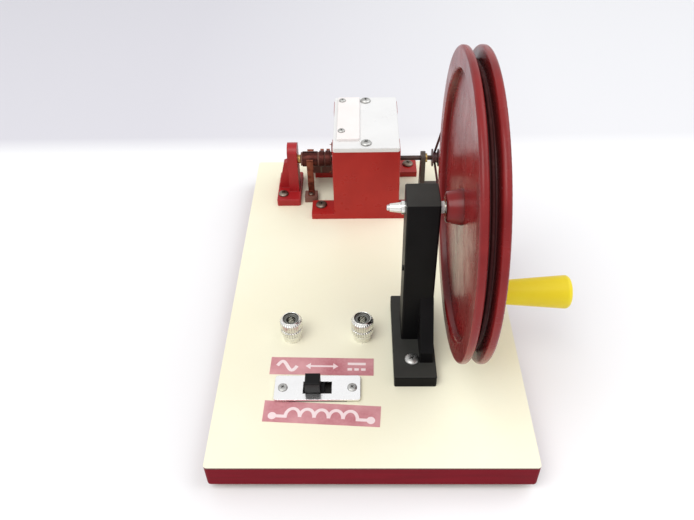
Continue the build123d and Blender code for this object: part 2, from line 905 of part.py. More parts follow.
with BuildPart() as top_cover:
    with BuildSketch(Plane.XY.offset(cover_z)):
        with Locations((dynamo_x, shaft_y)):
            RectangleRounded(cover_width, 2 * block_back, cover_corner)
        with Locations(*cover_spots):
            Circle(cover_screw_radius + screw_gap, mode=Mode.SUBTRACT)
        with Locations(*strip_spots):
            Circle(strip_screw_radius + screw_gap, mode=Mode.SUBTRACT)
    extrude(amount=cover_thickness)
    fillet(top_cover.faces().sort_by(Axis.Z)[-1].outer_wire().edges(), cover_rounding)
save(top_cover, "top_cover")

with BuildPart() as cover_screws:
    with Locations(*[(x, y, cover_z + cover_thickness) for x, y in cover_spots]):
        add(
            screw(
                cover_screw_radius,
                cover_thickness + cover_screw_depth - cover_screw_short,
                cover_screw_head,
                cover_screw_head * dome_share,
            )
        )
save(cover_screws, "cover_screws")

with BuildPart() as cover_strip:
    with BuildSketch(Plane.XY.offset(cover_z + cover_thickness)):
        with Locations((strip_x, strip_y)):
            RectangleRounded(strip_width, strip_length, strip_corner)
        with Locations(*strip_spots):
            Circle(strip_screw_radius + screw_gap, mode=Mode.SUBTRACT)
    extrude(amount=strip_thickness)
    fillet(cover_strip.faces().sort_by(Axis.Z)[-1].outer_wire().edges(), strip_rounding)
save(cover_strip, "cover_strip")

with BuildPart() as strip_screws:
    with Locations(
        *[(x, y, cover_z + cover_thickness + strip_thickness) for x, y in strip_spots]
    ):
        add(
            screw(
                strip_screw_radius,
                strip_thickness + cover_thickness,
                strip_screw_head,
                strip_screw_head * dome_share,
            )
        )
save(strip_screws, "strip_screws")

# Armature shaft and its H-shaped core
pulley_right = wheel_x + pulley_half_width + pulley_hub_length
shaft_left = post_outer + shaft_inset
shaft_right = pulley_right + shaft_past_pulley
shaft_axis = Axis((0, shaft_y, shaft_z), (1, 0, 0))

with BuildPart() as armature_shaft:
    with BuildSketch(Plane.YZ.offset(shaft_left)):
        with Locations((shaft_y, shaft_z)):
            Circle(shaft_radius)
    extrude(amount=shaft_right - shaft_left)
    chamfer(armature_shaft.faces().sort_by(Axis.X)[0].edges(), shaft_chamfer)
    chamfer(armature_shaft.faces().sort_by(Axis.X)[-1].edges(), shaft_chamfer)
save(armature_shaft, "armature_shaft")

shoe_inner = core_radius - shoe_thickness
wedge_reach = 2 * core_radius * cos(radians(shoe_half_angle))
wedge_rise = 2 * core_radius * sin(radians(shoe_half_angle))
with BuildPart() as armature_core:
    with BuildSketch(side(dynamo_x - core_length / 2, shaft_y, shaft_z)):
        Circle(core_radius)
        with Locations((0, core_radius + web_half_height), (0, -core_radius - web_half_height)):
            Rectangle(2 * shoe_inner, 2 * core_radius, mode=Mode.SUBTRACT)
        for way in (1, -1):
            with BuildLine():
                Polyline(
                    (0, 0),
                    (wedge_reach, way * wedge_rise),
                    (0, way * wedge_rise),
                    (-wedge_reach, way * wedge_rise),
                    close=True,
                )
            make_face(mode=Mode.SUBTRACT)
        Rectangle(2 * (shoe_inner + shoe_overlap), 2 * web_half_height)
        Circle(shaft_radius, mode=Mode.SUBTRACT)
    extrude(amount=core_length)
save(armature_core, "armature_core")

# Bobbin round the core's web, and the winding on it: one unbroken wire that runs lengthwise on
# one side of the shaft, crosses under it and goes on along the other side
bobbin_half_height = web_half_height + screw_gap + bobbin_wall
bobbin_straight = core_length / 2 - web_half_height
with BuildPart() as armature_bobbin:
    with BuildSketch(Plane.XZ.offset(-shaft_y - shoe_inner + screw_gap)):
        with Locations((dynamo_x, shaft_z)):
            SlotCenterToCenter(2 * bobbin_straight, 2 * bobbin_half_height)
            Rectangle(
                core_length + 2 * screw_gap,
                2 * web_half_height + 2 * screw_gap,
                mode=Mode.SUBTRACT,
            )
    extrude(amount=2 * shoe_inner - 2 * screw_gap)
    with BuildSketch(Plane.YZ.offset(dynamo_x - core_length)):
        with Locations((shaft_y, shaft_z)):
            Circle(shaft_radius + screw_gap)
    extrude(amount=2 * core_length, mode=Mode.SUBTRACT)
save(armature_bobbin, "armature_bobbin")

wire_height = bobbin_half_height + wire_radius + wire_lift
tag_left = ring_left + (
    rim_first + segment_length + rim_second + ring_length + rim_third + ring_length + rim_last
)
lead_end = tag_left + tag_thickness
room = shoe_inner - screw_gap - wire_radius - first_run_from_shaft
shift_count = int(room / (wire_pitch / 2))  # shifts of half a pitch that fit beside the shaft
places = [
    first_run_from_shaft + wire_pitch / 2 * i for i in range(shift_count, -1, -1)
]
places += [-first_run_from_shaft - wire_pitch / 2 * i for i in range(shift_count)]
runs = list(zip(places, places[1:]))

with BuildPart() as armature_winding:
    with BuildLine(Plane(origin=(dynamo_x, shaft_y, shaft_z))) as wire_path:
        lead_start = (lead_end - dynamo_x, places[0], wire_height)
        Line(lead_start, (-bobbin_straight, places[0], wire_height))
        for i, (y_from, y_to) in enumerate(runs):
            way = 1 if i % 2 == 0 else -1
            height = way * wire_height
            shift = (y_to - y_from) / 2
            chord = hypot(bobbin_straight, shift)
            slope = atan2(shift, bobbin_straight)
            bow = chord / 2 * tan(slope / 2)
            quarter_x = bobbin_straight / 2 - bow * sin(slope)
            quarter_y = shift / 2 + bow * cos(slope)
            run_start = (-way * bobbin_straight, y_from, height)
            middle = (0, y_from + shift, height)
            run_end = (way * bobbin_straight, y_to, height)
            ThreePointArc(
                run_start, (-way * quarter_x, middle[1] - quarter_y, height), middle
            )
            ThreePointArc(middle, (way * quarter_x, middle[1] + quarter_y, height), run_end)
            if i < len(runs) - 1:
                ThreePointArc(
                    run_end,
                    (way * (bobbin_straight + wire_height), y_to, 0),
                    (run_end[0], y_to, -height),
                )
        last = (-bobbin_straight, places[-1], -wire_height)
        Line(last, (lead_end - dynamo_x, places[-1], -wire_height))
    with BuildSketch(Plane(origin=wire_path.line @ 0, z_dir=wire_path.line % 0)):
        Circle(wire_radius)
    sweep()
save(armature_winding, "armature_winding")

# The least gap of the wire to itself, measured on points that are far apart along it
samples = 1500
far_apart = 8 * wire_height
wire = wire_path.wires()[0]
wire_length = wire.length
points = [tuple(wire @ (i / samples)) for i in range(samples + 1)]
apart = int(samples * far_apart / wire_length)
least = min(
    dist(points[i], points[j])
    for i in range(0, samples, 2)
    for j in range(i + apart, samples + 1, 2)
)
print("winding: length", round(wire_length, 1), "least gap", round(least - 2 * wire_radius, 3))

# Split ring and slip rings on their fibre hub
hub_right_end = second_ring_left + ring_length + rim_last

with BuildPart() as ring_hub:
    with BuildSketch(Plane.YZ.offset(ring_left)):
        with Locations((shaft_y, shaft_z)):
            Circle(ring_hub_radius)
    extrude(amount=hub_right_end - ring_left)
    for rim_left, rim_right in (
        (ring_left, segment_left),
        (segment_left + segment_length, first_ring_left),
        (first_ring_left + ring_length, second_ring_left),
        (second_ring_left + ring_length, hub_right_end),
    ):
        with BuildSketch(Plane.YZ.offset(rim_left)):
            with Locations((shaft_y, shaft_z)):
                Circle(ring_rim_radius)
        extrude(amount=rim_right - rim_left)
    with BuildSketch(Plane.YZ.offset(ring_left)):
        with Locations((shaft_y, shaft_z)):
            Circle(shaft_radius)
    extrude(amount=hub_right_end - ring_left, mode=Mode.SUBTRACT)
save(ring_hub, "ring_hub")

with BuildPart() as commutator_segments:
    with BuildSketch(Plane.YZ.offset(segment_left)):
        with Locations((shaft_y, shaft_z)):
            Circle(segment_radius)
            Circle(ring_hub_radius, mode=Mode.SUBTRACT)
            Rectangle(segment_slot, 3 * segment_radius, mode=Mode.SUBTRACT)
    extrude(amount=segment_length)
save(commutator_segments, "commutator_segments")


def slip_ring(ring_start):
    """A plain copper ring on the hub."""
    with BuildPart() as ring:
        with BuildSketch(Plane.YZ.offset(ring_start)):
            with Locations((shaft_y, shaft_z)):
                Circle(ring_radius)
                Circle(ring_hub_radius, mode=Mode.SUBTRACT)
        extrude(amount=ring_length)
    return ring


slip_ring_inner = slip_ring(first_ring_left)
slip_ring_outer = slip_ring(second_ring_left)
save(slip_ring_inner, "slip_ring_1")
save(slip_ring_outer, "slip_ring_2")

with BuildPart() as winding_tags:
    for y_lead, z_lead in ((places[0], wire_height), (places[-1], -wire_height)):
        reach = hypot(y_lead, z_lead) + wire_radius + tag_past_wire
        inner = shaft_radius + tag_from_shaft
        angle = degrees(atan2(z_lead, y_lead))
        with BuildSketch(side(tag_left, shaft_y, shaft_z)):
            with Locations(Location((0, 0), angle)):
                with Locations(((inner + reach) / 2, 0)):
                    Rectangle(reach - inner, tag_width)
        extrude(amount=tag_thickness)
save(winding_tags, "winding_tags")

# Left bearing: painted stand with a rib to its foot, brass bush, screws
with BuildPart() as bearing_stand:
    with BuildSketch(Plane.XY.offset(deck)):
        with Locations((bearing_left + bearing_foot_width / 2, shaft_y)):
            RectangleRounded(bearing_foot_width, bearing_foot_length, bearing_foot_corner)
    extrude(amount=bearing_foot_thickness)
    fillet(bearing_stand.faces().sort_by(Axis.Z)[-1].edges(), small_rounding)
    with BuildSketch(side(post_outer, shaft_y, deck)):
        with BuildLine():
            arch_top = shaft_above_deck + bearing_above_shaft
            shoulder = arch_top - bearing_shoulder
            foot_reach = bearing_post_depth / 2 + bearing_post_draft
            Polyline(
                (-bearing_post_depth / 2, shoulder),
                (-foot_reach, bearing_foot_thickness / 2),
                (foot_reach, bearing_foot_thickness / 2),
                (bearing_post_depth / 2, shoulder),
            )
            ThreePointArc(
                (bearing_post_depth / 2, shoulder),
                (0, arch_top),
                (-bearing_post_depth / 2, shoulder),
            )
        make_face()
    extrude(amount=bearing_post_width)
    with BuildSketch(across(0, shaft_y + bearing_rib_thickness / 2, deck)):
        with BuildLine():
            Polyline(
                (post_outer + bearing_rib_seat, bearing_foot_thickness / 2),
                (bearing_left + bearing_rib_inset, bearing_foot_thickness / 2),
                (bearing_left + bearing_rib_inset, bearing_foot_thickness + bearing_rib_toe),
                (post_outer - bearing_rib_top, bearing_rib_height),
                (post_outer + bearing_rib_seat, bearing_rib_height + bearing_rib_rise),
                close=True,
            )
        make_face()
    extrude(amount=bearing_rib_thickness)
    with Locations(Location((post_outer, shaft_y, shaft_z), (0, 90, 0))):
        Cylinder(
            shaft_radius + running_gap + bush_wall,
            bearing_post_width,
            align=(Align.CENTER, Align.CENTER, Align.MIN),
            mode=Mode.SUBTRACT,
        )
    with BuildSketch(Plane.XY.offset(deck)):
        with Locations(*bearing_spots):
            Circle(bearing_screw_radius + screw_gap)
    extrude(amount=bearing_foot_thickness, mode=Mode.SUBTRACT)
save(bearing_stand, "bearing_stand_left")


def bush(start, length, flange_start, flange_length):
    """A flanged brass bush about the armature shaft."""
    with BuildPart() as brass:
        with BuildSketch(Plane.YZ.offset(start)):
            with Locations((shaft_y, shaft_z)):
                Circle(shaft_radius + running_gap + bush_wall)
        extrude(amount=length)
        with BuildSketch(Plane.YZ.offset(flange_start)):
            with Locations((shaft_y, shaft_z)):
                Circle(bush_flange_radius + running_gap)
        extrude(amount=flange_length)
        with BuildSketch(Plane.YZ.offset(min(start, flange_start))):
            with Locations((shaft_y, shaft_z)):
                Circle(shaft_radius + running_gap)
        extrude(amount=length + flange_length, mode=Mode.SUBTRACT)
    return brass


bush_left = bush(post_outer, bearing_post_width, post_inner, stand_to_hub)
bush_right = bush(
    bracket_left, bracket_thickness, bracket_left + bracket_thickness, bush_flange
)
save(bush_left, "bearing_bush_left")
save(bush_right, "bearing_bush_right")

with BuildPart() as bearing_screws:
    with Locations(*[(x, y, deck + bearing_foot_thickness) for x, y in bearing_spots]):
        add(
            screw(
                bearing_screw_radius,
                bearing_foot_thickness + screw_depth - laminate_thickness,
                bearing_screw_head,
                bearing_screw_head * dome_share,
            )
        )
save(bearing_screws, "bearing_stand_screws")

# Right bearing: a bent metal bracket with a round top, its foot under the pulley
with BuildPart() as bearing_bracket:
    with BuildSketch(side(bracket_left, shaft_y, deck)):
        with BuildLine():
            Line((-bracket_foot_width / 2, 0), (bracket_foot_width / 2, 0))
            Line((bracket_foot_width / 2, 0), (bracket_top_radius, shaft_above_deck))
            ThreePointArc(
                (bracket_top_radius, shaft_above_deck),
                (0, shaft_above_deck + bracket_top_radius),
                (-bracket_top_radius, shaft_above_deck),
            )
            Line((-bracket_top_radius, shaft_above_deck), (-bracket_foot_width / 2, 0))
        make_face()
    extrude(amount=bracket_thickness)
    with BuildSketch(Plane.XY.offset(deck)):
        with Locations(
            (bracket_left + (bracket_thickness + bracket_foot_length) / 2, shaft_y)
        ):
            RectangleRounded(
                bracket_thickness + bracket_foot_length, bracket_foot_width, bracket_corner
            )
    extrude(amount=bracket_thickness)
    with Locations(Location((bracket_left, shaft_y, shaft_z), (0, 90, 0))):
        Cylinder(
            shaft_radius + running_gap + bush_wall,
            bracket_thickness,
            align=(Align.CENTER, Align.CENTER, Align.MIN),
            mode=Mode.SUBTRACT,
        )
    with BuildSketch(Plane.XY.offset(deck)):
        with Locations(*bracket_spots):
            Circle(bracket_screw_radius + screw_gap)
    extrude(amount=bracket_thickness, mode=Mode.SUBTRACT)
save(bearing_bracket, "bearing_bracket_right")

with BuildPart() as bracket_screws:
    with Locations(*[(x, y, deck + bracket_thickness) for x, y in bracket_spots]):
        add(
            screw(
                bracket_screw_radius,
                bracket_thickness + screw_depth - laminate_thickness,
                bracket_screw_head,
                bracket_screw_head * dome_share,
            )
        )
save(bracket_screws, "bearing_bracket_screws")

with BuildPart() as driven_pulley:
    with BuildSketch(across(wheel_x, shaft_y, shaft_z)):
        with BuildLine():
            Polyline(
                (-pulley_half_width, shaft_radius),
                (-pulley_half_width, pulley_radius),
                (-pulley_half_mouth, pulley_radius),
                (-pulley_half_floor, pulley_floor_radius),
                (pulley_half_floor, pulley_floor_radius),
                (pulley_half_mouth, pulley_radius),
                (pulley_half_width, pulley_radius),
                (pulley_half_width, pulley_hub_radius),
                (pulley_half_width + pulley_hub_length, pulley_hub_radius),
                (pulley_half_width + pulley_hub_length, shaft_radius),
                close=True,
            )
        make_face()
    revolve(axis=shaft_axis)
save(driven_pulley, "driven_pulley")


# Brush gear: springy leaves, bent from strip, that stand on fibre blocks and lean on the rings
def brush_leaf(x, width, foot_spot, *bends):
    """A strip of one thickness along the bends (Y and Z from the shaft), its foot at foot_spot."""
    with BuildPart() as leaf:
        with BuildSketch(side(x - width / 2, shaft_y, shaft_z)):
            with BuildLine():
                Polyline(*bends)
                offset(amount=brush_thickness, side=Side.RIGHT, kind=Kind.INTERSECTION)
            make_face()
        extrude(amount=width)
        with BuildSketch(Plane.XY.offset(foot_spot[2])):
            with Locations(foot_spot[:2]):
                Circle(brush_screw_radius + screw_gap)
        extrude(amount=brush_thickness, both=True, mode=Mode.SUBTRACT)
    return leaf


def rear_leaf(x, width, radius):
    """A leaf from the rear bar, slanting up to the back of a ring of this radius."""
    near = radius + brush_gap
    floor = bar_z + brush_bar_height - shaft_z
    return brush_leaf(
        x,
        width,
        (x, bar_middle, bar_z + brush_bar_height),
        (bar_front + brush_bar_depth - shaft_y, floor),
        (bar_front - shaft_y, floor),
        (near, -brush_bend_below_shaft),
        (near, brush_tip_above_shaft),
        (near + brush_flare, brush_tip_above_shaft + brush_flare_height),
    )


front_near = -segment_radius - brush_gap
front_floor = deck + brush_block_height - shaft_z
brush_leaf_front = brush_leaf(
    segment_middle,
    brush_width,
    (*front_brush_spot, deck + brush_block_height),
    (front_near - brush_flare, brush_tip_above_shaft + brush_flare_height),
    (front_near, brush_tip_above_shaft),
    (front_near, front_floor),
    (front_near - brush_foot_length, front_floor),
)
brush_leaf_rear = rear_leaf(segment_middle, brush_width, segment_radius)
ring_leaf_1 = rear_leaf(first_ring_middle, ring_brush_width, ring_radius)
ring_leaf_2 = rear_leaf(second_ring_middle, ring_brush_width, ring_radius)
save(brush_leaf_front, "commutator_brush_front")
save(brush_leaf_rear, "commutator_brush_rear")
save(ring_leaf_1, "slip_ring_brush_1")
save(ring_leaf_2, "slip_ring_brush_2")

with BuildPart() as brush_block_front:
    with BuildSketch(Plane.XY.offset(deck)):
        with Locations((segment_middle, shaft_y + front_near - brush_block_depth / 2)):
            RectangleRounded(brush_block_width, brush_block_depth, brush_block_corner)
        with Locations(front_brush_spot):
            Circle(brush_screw_radius + screw_gap, mode=Mode.SUBTRACT)
    extrude(amount=brush_block_height)
save(brush_block_front, "brush_block_front")

with BuildPart() as brush_block_rear:
    with BuildSketch(Plane.XY.offset(bar_z)):
        with Locations(((bar_left + bar_right) / 2, bar_middle)):
            RectangleRounded(bar_right - bar_left, brush_bar_depth, brush_block_corner)
        with Locations(*rear_brush_spots):
            Circle(brush_screw_radius + screw_gap, mode=Mode.SUBTRACT)
        with Locations(bar_screw_spot):
            Circle(bar_screw_radius + screw_gap, mode=Mode.SUBTRACT)
    extrude(amount=brush_bar_height)
save(brush_block_rear, "brush_block_rear")

with BuildPart() as brush_screws:
    leaf_screw_length = brush_thickness + brush_bar_height - brush_screw_short
    with Locations((*front_brush_spot, deck + brush_block_height + brush_thickness)):
        add(
            screw(
                brush_screw_radius,
                brush_thickness + brush_block_height + screw_depth - laminate_thickness,
                brush_screw_head,
                brush_screw_head * dome_share,
            )
        )
    with Locations(*[(x, y, bar_z + brush_bar_height + brush_thickness) for x, y in rear_brush_spots]):
        add(
            screw(
                brush_screw_radius,
                leaf_screw_length,
                brush_screw_head,
                brush_screw_head * dome_share,
            )
        )
    with Locations((*bar_screw_spot, bar_z + brush_bar_height)):
        add(
            screw(
                bar_screw_radius,
                brush_bar_height + block_foot_thickness + screw_depth - laminate_thickness,
                bar_screw_head,
                bar_screw_head * dome_share,
            )
        )
save(brush_screws, "brush_screws")

# Binding posts: a nickel stud with a collar and a socket, a knurled nut, a nut under the board
tail_bottom = foot_height - tail_nut_thickness - tail_past_nut
with BuildPart() as terminal_studs:
    for x, y in terminal_spots:
        with BuildSketch(across(x, y, deck)):
            with BuildLine():
                Polyline(
                    (0, tail_bottom - deck),
                    (stud_tail_radius, tail_bottom - deck),
                    (stud_tail_radius, 0),
                    (collar_radius, 0),
                    (collar_radius, collar_height),
                    (stud_radius, collar_height),
                    (stud_radius, stud_height),
                    (socket_radius, stud_height),
                    (socket_radius, stud_height - socket_depth),
                    (0, stud_height - socket_depth),
                    close=True,
                )
            make_face()
        revolve(axis=Axis((x, y, 0), (0, 0, 1)))
save(terminal_studs, "terminal_studs")


def terminal_knob(x, y):
    """A knurled thumb nut with a waist and a shallow cup on top."""
    low = collar_height + knob_rest_gap
    high = low + knob_height
    bore = stud_radius + running_gap
    waist = low + knob_waist_height
    with BuildPart() as knob:
        with BuildSketch(across(x, y, deck)):
            with BuildLine():
                Polyline(
                    (bore, low),
                    (knob_radius - knob_chamfer_low, low),
                    (knob_radius, low + knob_chamfer_low),
                    (knob_radius, waist),
                    (knob_radius - knob_waist, waist + knob_waist_slope),
                    (knob_radius - knob_waist, waist + knob_waist_slope + knob_waist_width),
                    (knob_radius, waist + 2 * knob_waist_slope + knob_waist_width),
                    (knob_radius, high - knob_chamfer_high),
                    (knob_radius - knob_chamfer_high, high),
                    (knob_cup_radius, high),
                    (bore + knob_lip, high - knob_cup_depth),
                    (bore, high - knob_cup_depth),
                    close=True,
                )
            make_face()
        revolve(axis=Axis((x, y, 0), (0, 0, 1)))
    return knob


knob_left = terminal_knob(*terminal_spots[0])
knob_right = terminal_knob(*terminal_spots[1])
save(knob_left, "terminal_knob_left")
save(knob_right, "terminal_knob_right")

with BuildPart() as terminal_nuts:
    for x, y in terminal_spots:
        with BuildSketch(Plane.XY.offset(foot_height - tail_nut_thickness)):
            with Locations((x, y)):
                RegularPolygon(tail_nut_size / 2, 6, major_radius=False)
                Circle(stud_tail_radius + thread_gap, mode=Mode.SUBTRACT)
        extrude(amount=tail_nut_thickness)
save(terminal_nuts, "terminal_nuts")

# Slide switch: plate, body with its lugs, slider, screws
plate_z = deck + can_lip_thickness
slot_length = slider_length + slider_travel + 2 * slot_end_gap
slider_x = switch_x - slider_travel / 2
with BuildPart() as switch_plate:
    with BuildSketch(Plane.XY.offset(plate_z)):
        with Locations((switch_x, switch_y)):
            RectangleRounded(plate_length, plate_width, plate_corner)
            Rectangle(slot_length, slider_width + 2 * slide_gap, mode=Mode.SUBTRACT)
        with Locations(*switch_spots):
            Circle(plate_screw_radius + screw_gap, mode=Mode.SUBTRACT)
    extrude(amount=plate_thickness)
save(switch_plate, "switch_plate")

base_length = slider_length + 2 * slider_base_lip
base_width = slider_width + 2 * slider_base_lip
cavity_length = base_length + slider_travel + 2 * slide_gap
cavity_depth = slider_base_thickness + 2 * slide_gap
with BuildPart() as switch_body:
    with BuildSketch(Plane.XY.offset(deck)):
        with Locations((switch_x, switch_y)):
            Rectangle(can_length + 2 * can_lip, can_width + 2 * can_lip_side)
    extrude(amount=can_lip_thickness)
    with BuildSketch(Plane.XY.offset(deck)):
        with Locations((switch_x, switch_y)):
            Rectangle(can_length, can_width)
    extrude(amount=-can_depth)
    with BuildSketch(Plane.XY.offset(plate_z)):
        with Locations((switch_x, switch_y)):
            Rectangle(cavity_length, base_width + 2 * slide_gap)
    extrude(amount=-cavity_depth, mode=Mode.SUBTRACT)
save(switch_body, "switch_body")

with BuildPart() as switch_lugs:
    with BuildSketch(Plane.XY.offset(deck - can_depth)):
        with Locations((switch_x, switch_y)):
            with GridLocations(lug_pitch, lug_row_spacing, 3, 2):
                Rectangle(lug_width, lug_thickness)
    extrude(amount=-lug_length)
save(switch_lugs, "switch_lugs")

slider_base_z = plate_z - slide_gap - slider_base_thickness
with BuildPart() as switch_slider:
    with BuildSketch(Plane.XY.offset(slider_base_z)):
        with Locations((slider_x, switch_y)):
            Rectangle(base_length, base_width)
    extrude(amount=slider_base_thickness)
    with BuildSketch(Plane.XY.offset(slider_base_z)):
        with Locations((slider_x, switch_y)):
            Rectangle(slider_length, slider_width)
    extrude(amount=plate_z + plate_thickness + slider_height - slider_base_z)
    fillet(switch_slider.faces().sort_by(Axis.Z)[-1].edges(), small_rounding)
save(switch_slider, "switch_slider")

with BuildPart() as switch_screws:
    with Locations(*[(x, y, plate_z + plate_thickness) for x, y in switch_spots]):
        add(
            screw(
                plate_screw_radius,
                plate_thickness + can_lip_thickness + screw_depth - laminate_thickness,
                plate_screw_head,
                plate_screw_dome,
            )
        )
save(switch_screws, "switch_screws")

print("belt ratio", round(belt_wheel_radius / belt_pulley_radius, 5))
print("wheel axis", round(wheel_y, 3), round(wheel_z, 3), "crank z", round(crank_z, 3))
print("shaft axis", round(shaft_y, 3), round(shaft_z, 3), "wheel plane x", round(wheel_x, 3))
print("left", round(left, 3), "right", round(grip_right, 3), "front", front, "deck", deck)
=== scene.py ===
import json
import math

import bmesh
import bpy
from mathutils import Matrix, Vector


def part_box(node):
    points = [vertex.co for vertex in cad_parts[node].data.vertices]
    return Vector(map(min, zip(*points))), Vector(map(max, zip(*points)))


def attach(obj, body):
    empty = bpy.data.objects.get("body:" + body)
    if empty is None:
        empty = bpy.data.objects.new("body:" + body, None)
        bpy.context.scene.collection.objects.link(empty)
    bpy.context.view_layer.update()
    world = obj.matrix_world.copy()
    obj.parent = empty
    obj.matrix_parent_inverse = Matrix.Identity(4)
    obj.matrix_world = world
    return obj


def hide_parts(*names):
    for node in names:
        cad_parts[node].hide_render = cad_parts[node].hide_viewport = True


# A hand-cranked dynamo demonstration model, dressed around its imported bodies. Metres.

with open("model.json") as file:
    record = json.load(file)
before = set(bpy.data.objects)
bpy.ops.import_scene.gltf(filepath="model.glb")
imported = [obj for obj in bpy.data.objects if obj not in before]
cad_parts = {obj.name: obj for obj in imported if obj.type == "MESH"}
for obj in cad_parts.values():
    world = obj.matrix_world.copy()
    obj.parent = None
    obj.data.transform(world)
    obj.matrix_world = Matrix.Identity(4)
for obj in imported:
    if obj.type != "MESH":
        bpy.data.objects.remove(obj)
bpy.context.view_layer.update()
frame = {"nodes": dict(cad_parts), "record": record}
MM = 0.001

# Places that the CAD source also uses, in millimetres
BOARD_LEFT = -73.3
BOARD_FRONT = -101.5
DECK = 15.5


def spot(x, y, z=0.0):
    """A point in metres from millimetres off the board's front left corner, above the deck."""
    return Vector((BOARD_LEFT + x, BOARD_FRONT + y, DECK + z)) * MM


# Camera, at the photograph's angle
FRAME_WIDTH = 694
FOCAL_PIXELS = 695.6
PITCH = math.radians(42.1)
YAW = math.radians(-1.8)
ROLL = math.radians(-1.6)
CAMERA_PLACE = (61.0, -140.7, 232.3)
SENSOR_WIDTH = 36


def make_camera():
    """Places the camera from its pitch, yaw and roll."""
    forward = Vector(
        (
            math.sin(YAW) * math.cos(PITCH),
            math.cos(YAW) * math.cos(PITCH),
            -math.sin(PITCH),
        )
    )
    right = Vector((math.cos(YAW), -math.sin(YAW), 0))
    up = right.cross(forward)
    rolled_right = right * math.cos(ROLL) + up * math.sin(ROLL)
    rolled_up = up * math.cos(ROLL) - right * math.sin(ROLL)
    turned = Matrix((rolled_right, rolled_up, -forward)).transposed().to_4x4()
    data = bpy.data.cameras.new("camera")
    data.sensor_fit = "HORIZONTAL"
    data.sensor_width = SENSOR_WIDTH
    data.lens = FOCAL_PIXELS / FRAME_WIDTH * SENSOR_WIDTH
    data.clip_start = 0.01
    data.clip_end = 50
    camera = bpy.data.objects.new("camera", data)
    camera.matrix_world = Matrix.Translation(spot(*CAMERA_PLACE)) @ turned
    bpy.context.scene.collection.objects.link(camera)
    bpy.context.scene.camera = camera


make_camera()

# Where each mask begins and where it is full: an edge's bend, a groove's openness for painted shade,
# a face's tilt
EDGE_MASK = (0.985, 0.80)
CREVICE_SHADE_MASK = (0.95, 0.35)
UPWARD_MASK = (0.8, 0.98)


class Look:
    """A Principled material and the nodes that feed it."""

    def __init__(self, name, metallic=0.0, shine=0.5):
        self.material = bpy.data.materials.new(name)
        self.material.use_nodes = True
        self.nodes = self.material.node_tree.nodes
        self.links = self.material.node_tree.links
        self.shader = self.nodes["Principled BSDF"]
        self.place = self.nodes.new("ShaderNodeTexCoord").outputs["Object"]
        self.shader.inputs["Metallic"].default_value = metallic
        self.shader.inputs["Specular IOR Level"].default_value = shine

    def set(self, socket, value):
        """Links a node's output to one of the shader's sockets."""
        self.links.new(value, self.shader.inputs[socket])

    def node(self, kind, inputs=(), **settings):
        """Adds a node, sets it up and links its inputs."""
        made = self.nodes.new(kind)
        for key, value in settings.items():
            setattr(made, key, value)
        for key, value in dict(inputs).items():
            if isinstance(value, bpy.types.NodeSocket):
                self.links.new(value, made.inputs[key])
            else:
                made.inputs[key].default_value = value
        return made

    def stretched(self, x, y, z):
        """The object's coordinates, scaled along each axis."""
        return self.node(
            "ShaderNodeMapping", {"Vector": self.place, "Scale": (x, y, z)}
        ).outputs[0]

    def noise(self, scale, detail=3.0, place=None):
        """Noise whose features are about 1 / scale metres."""
        inputs = {"Vector": place or self.place, "Scale": scale, "Detail": detail}
        return self.node("ShaderNodeTexNoise", inputs).outputs["Fac"]

    def cells(self, scale):
        """Distance to scattered points about 1 / scale metres apart."""
        inputs = {"Vector": self.place, "Scale": scale}
        return self.node("ShaderNodeTexVoronoi", inputs).outputs["Distance"]

    def span(self, fac, low, high, to_low=0.0, to_high=1.0):
        """Maps fac from low..high to another range, clamped."""
        inputs = {0: fac, 1: low, 2: high, 3: to_low, 4: to_high}
        return self.node("ShaderNodeMapRange", inputs).outputs[0]

    def blend(self, fac, low, high):
        """A colour between two colours."""
        made = self.node("ShaderNodeMix", data_type="RGBA")
        for index, value in ((0, fac), (6, low), (7, high)):
            if isinstance(value, bpy.types.NodeSocket):
                self.links.new(value, made.inputs[index])
            elif isinstance(value, tuple):
                made.inputs[index].default_value = (*value, 1)
            else:
                made.inputs[index].default_value = value
        return made.outputs[2]

    def both(self, a, b):
        """The product of two masks."""
        return self.node("ShaderNodeMath", {0: a, 1: b}, operation="MULTIPLY").outputs[0]

    def edges(self, radius):
        """A mask that is 1 along the edges of the mesh, and the rounded normal."""
        rounded = self.node("ShaderNodeBevel", {"Radius": radius}, samples=4).outputs[0]
        flat = self.node("ShaderNodeNewGeometry").outputs["Normal"]
        agree = self.node(
            "ShaderNodeVectorMath", {0: rounded, 1: flat}, operation="DOT_PRODUCT"
        ).outputs["Value"]
        return self.span(agree, *EDGE_MASK), rounded

    def shade_in_crevices(self, reach):
        """A mask that is 1 in corners and grooves about this deep, and 0 on open faces: where shade
        is painted into the colour.
        """
        open_sky = self.node("ShaderNodeAmbientOcclusion", {"Distance": reach}, samples=6)
        return self.span(open_sky.outputs["AO"], *CREVICE_SHADE_MASK)

    def upward(self):
        """A mask that is 1 on faces that look straight up."""
        normal = self.node("ShaderNodeNewGeometry").outputs["Normal"]
        upright = self.node("ShaderNodeSeparateXYZ", {0: normal}).outputs["Z"]
        return self.span(upright, *UPWARD_MASK)

    def along(self, axis, low, high):
        """A mask that goes from 0 at low to 1 at high along an axis, in metres."""
        place = self.node("ShaderNodeSeparateXYZ", {0: self.place}).outputs[axis]
        return self.span(place, low, high)

    def relief(self, height, distance, strength=1.0, normal=None):
        """Bump from a height."""
        inputs = {"Height": height, "Distance": distance, "Strength": strength}
        if normal:
            inputs["Normal"] = normal
        self.set("Normal", self.node("ShaderNodeBump", inputs).outputs[0])


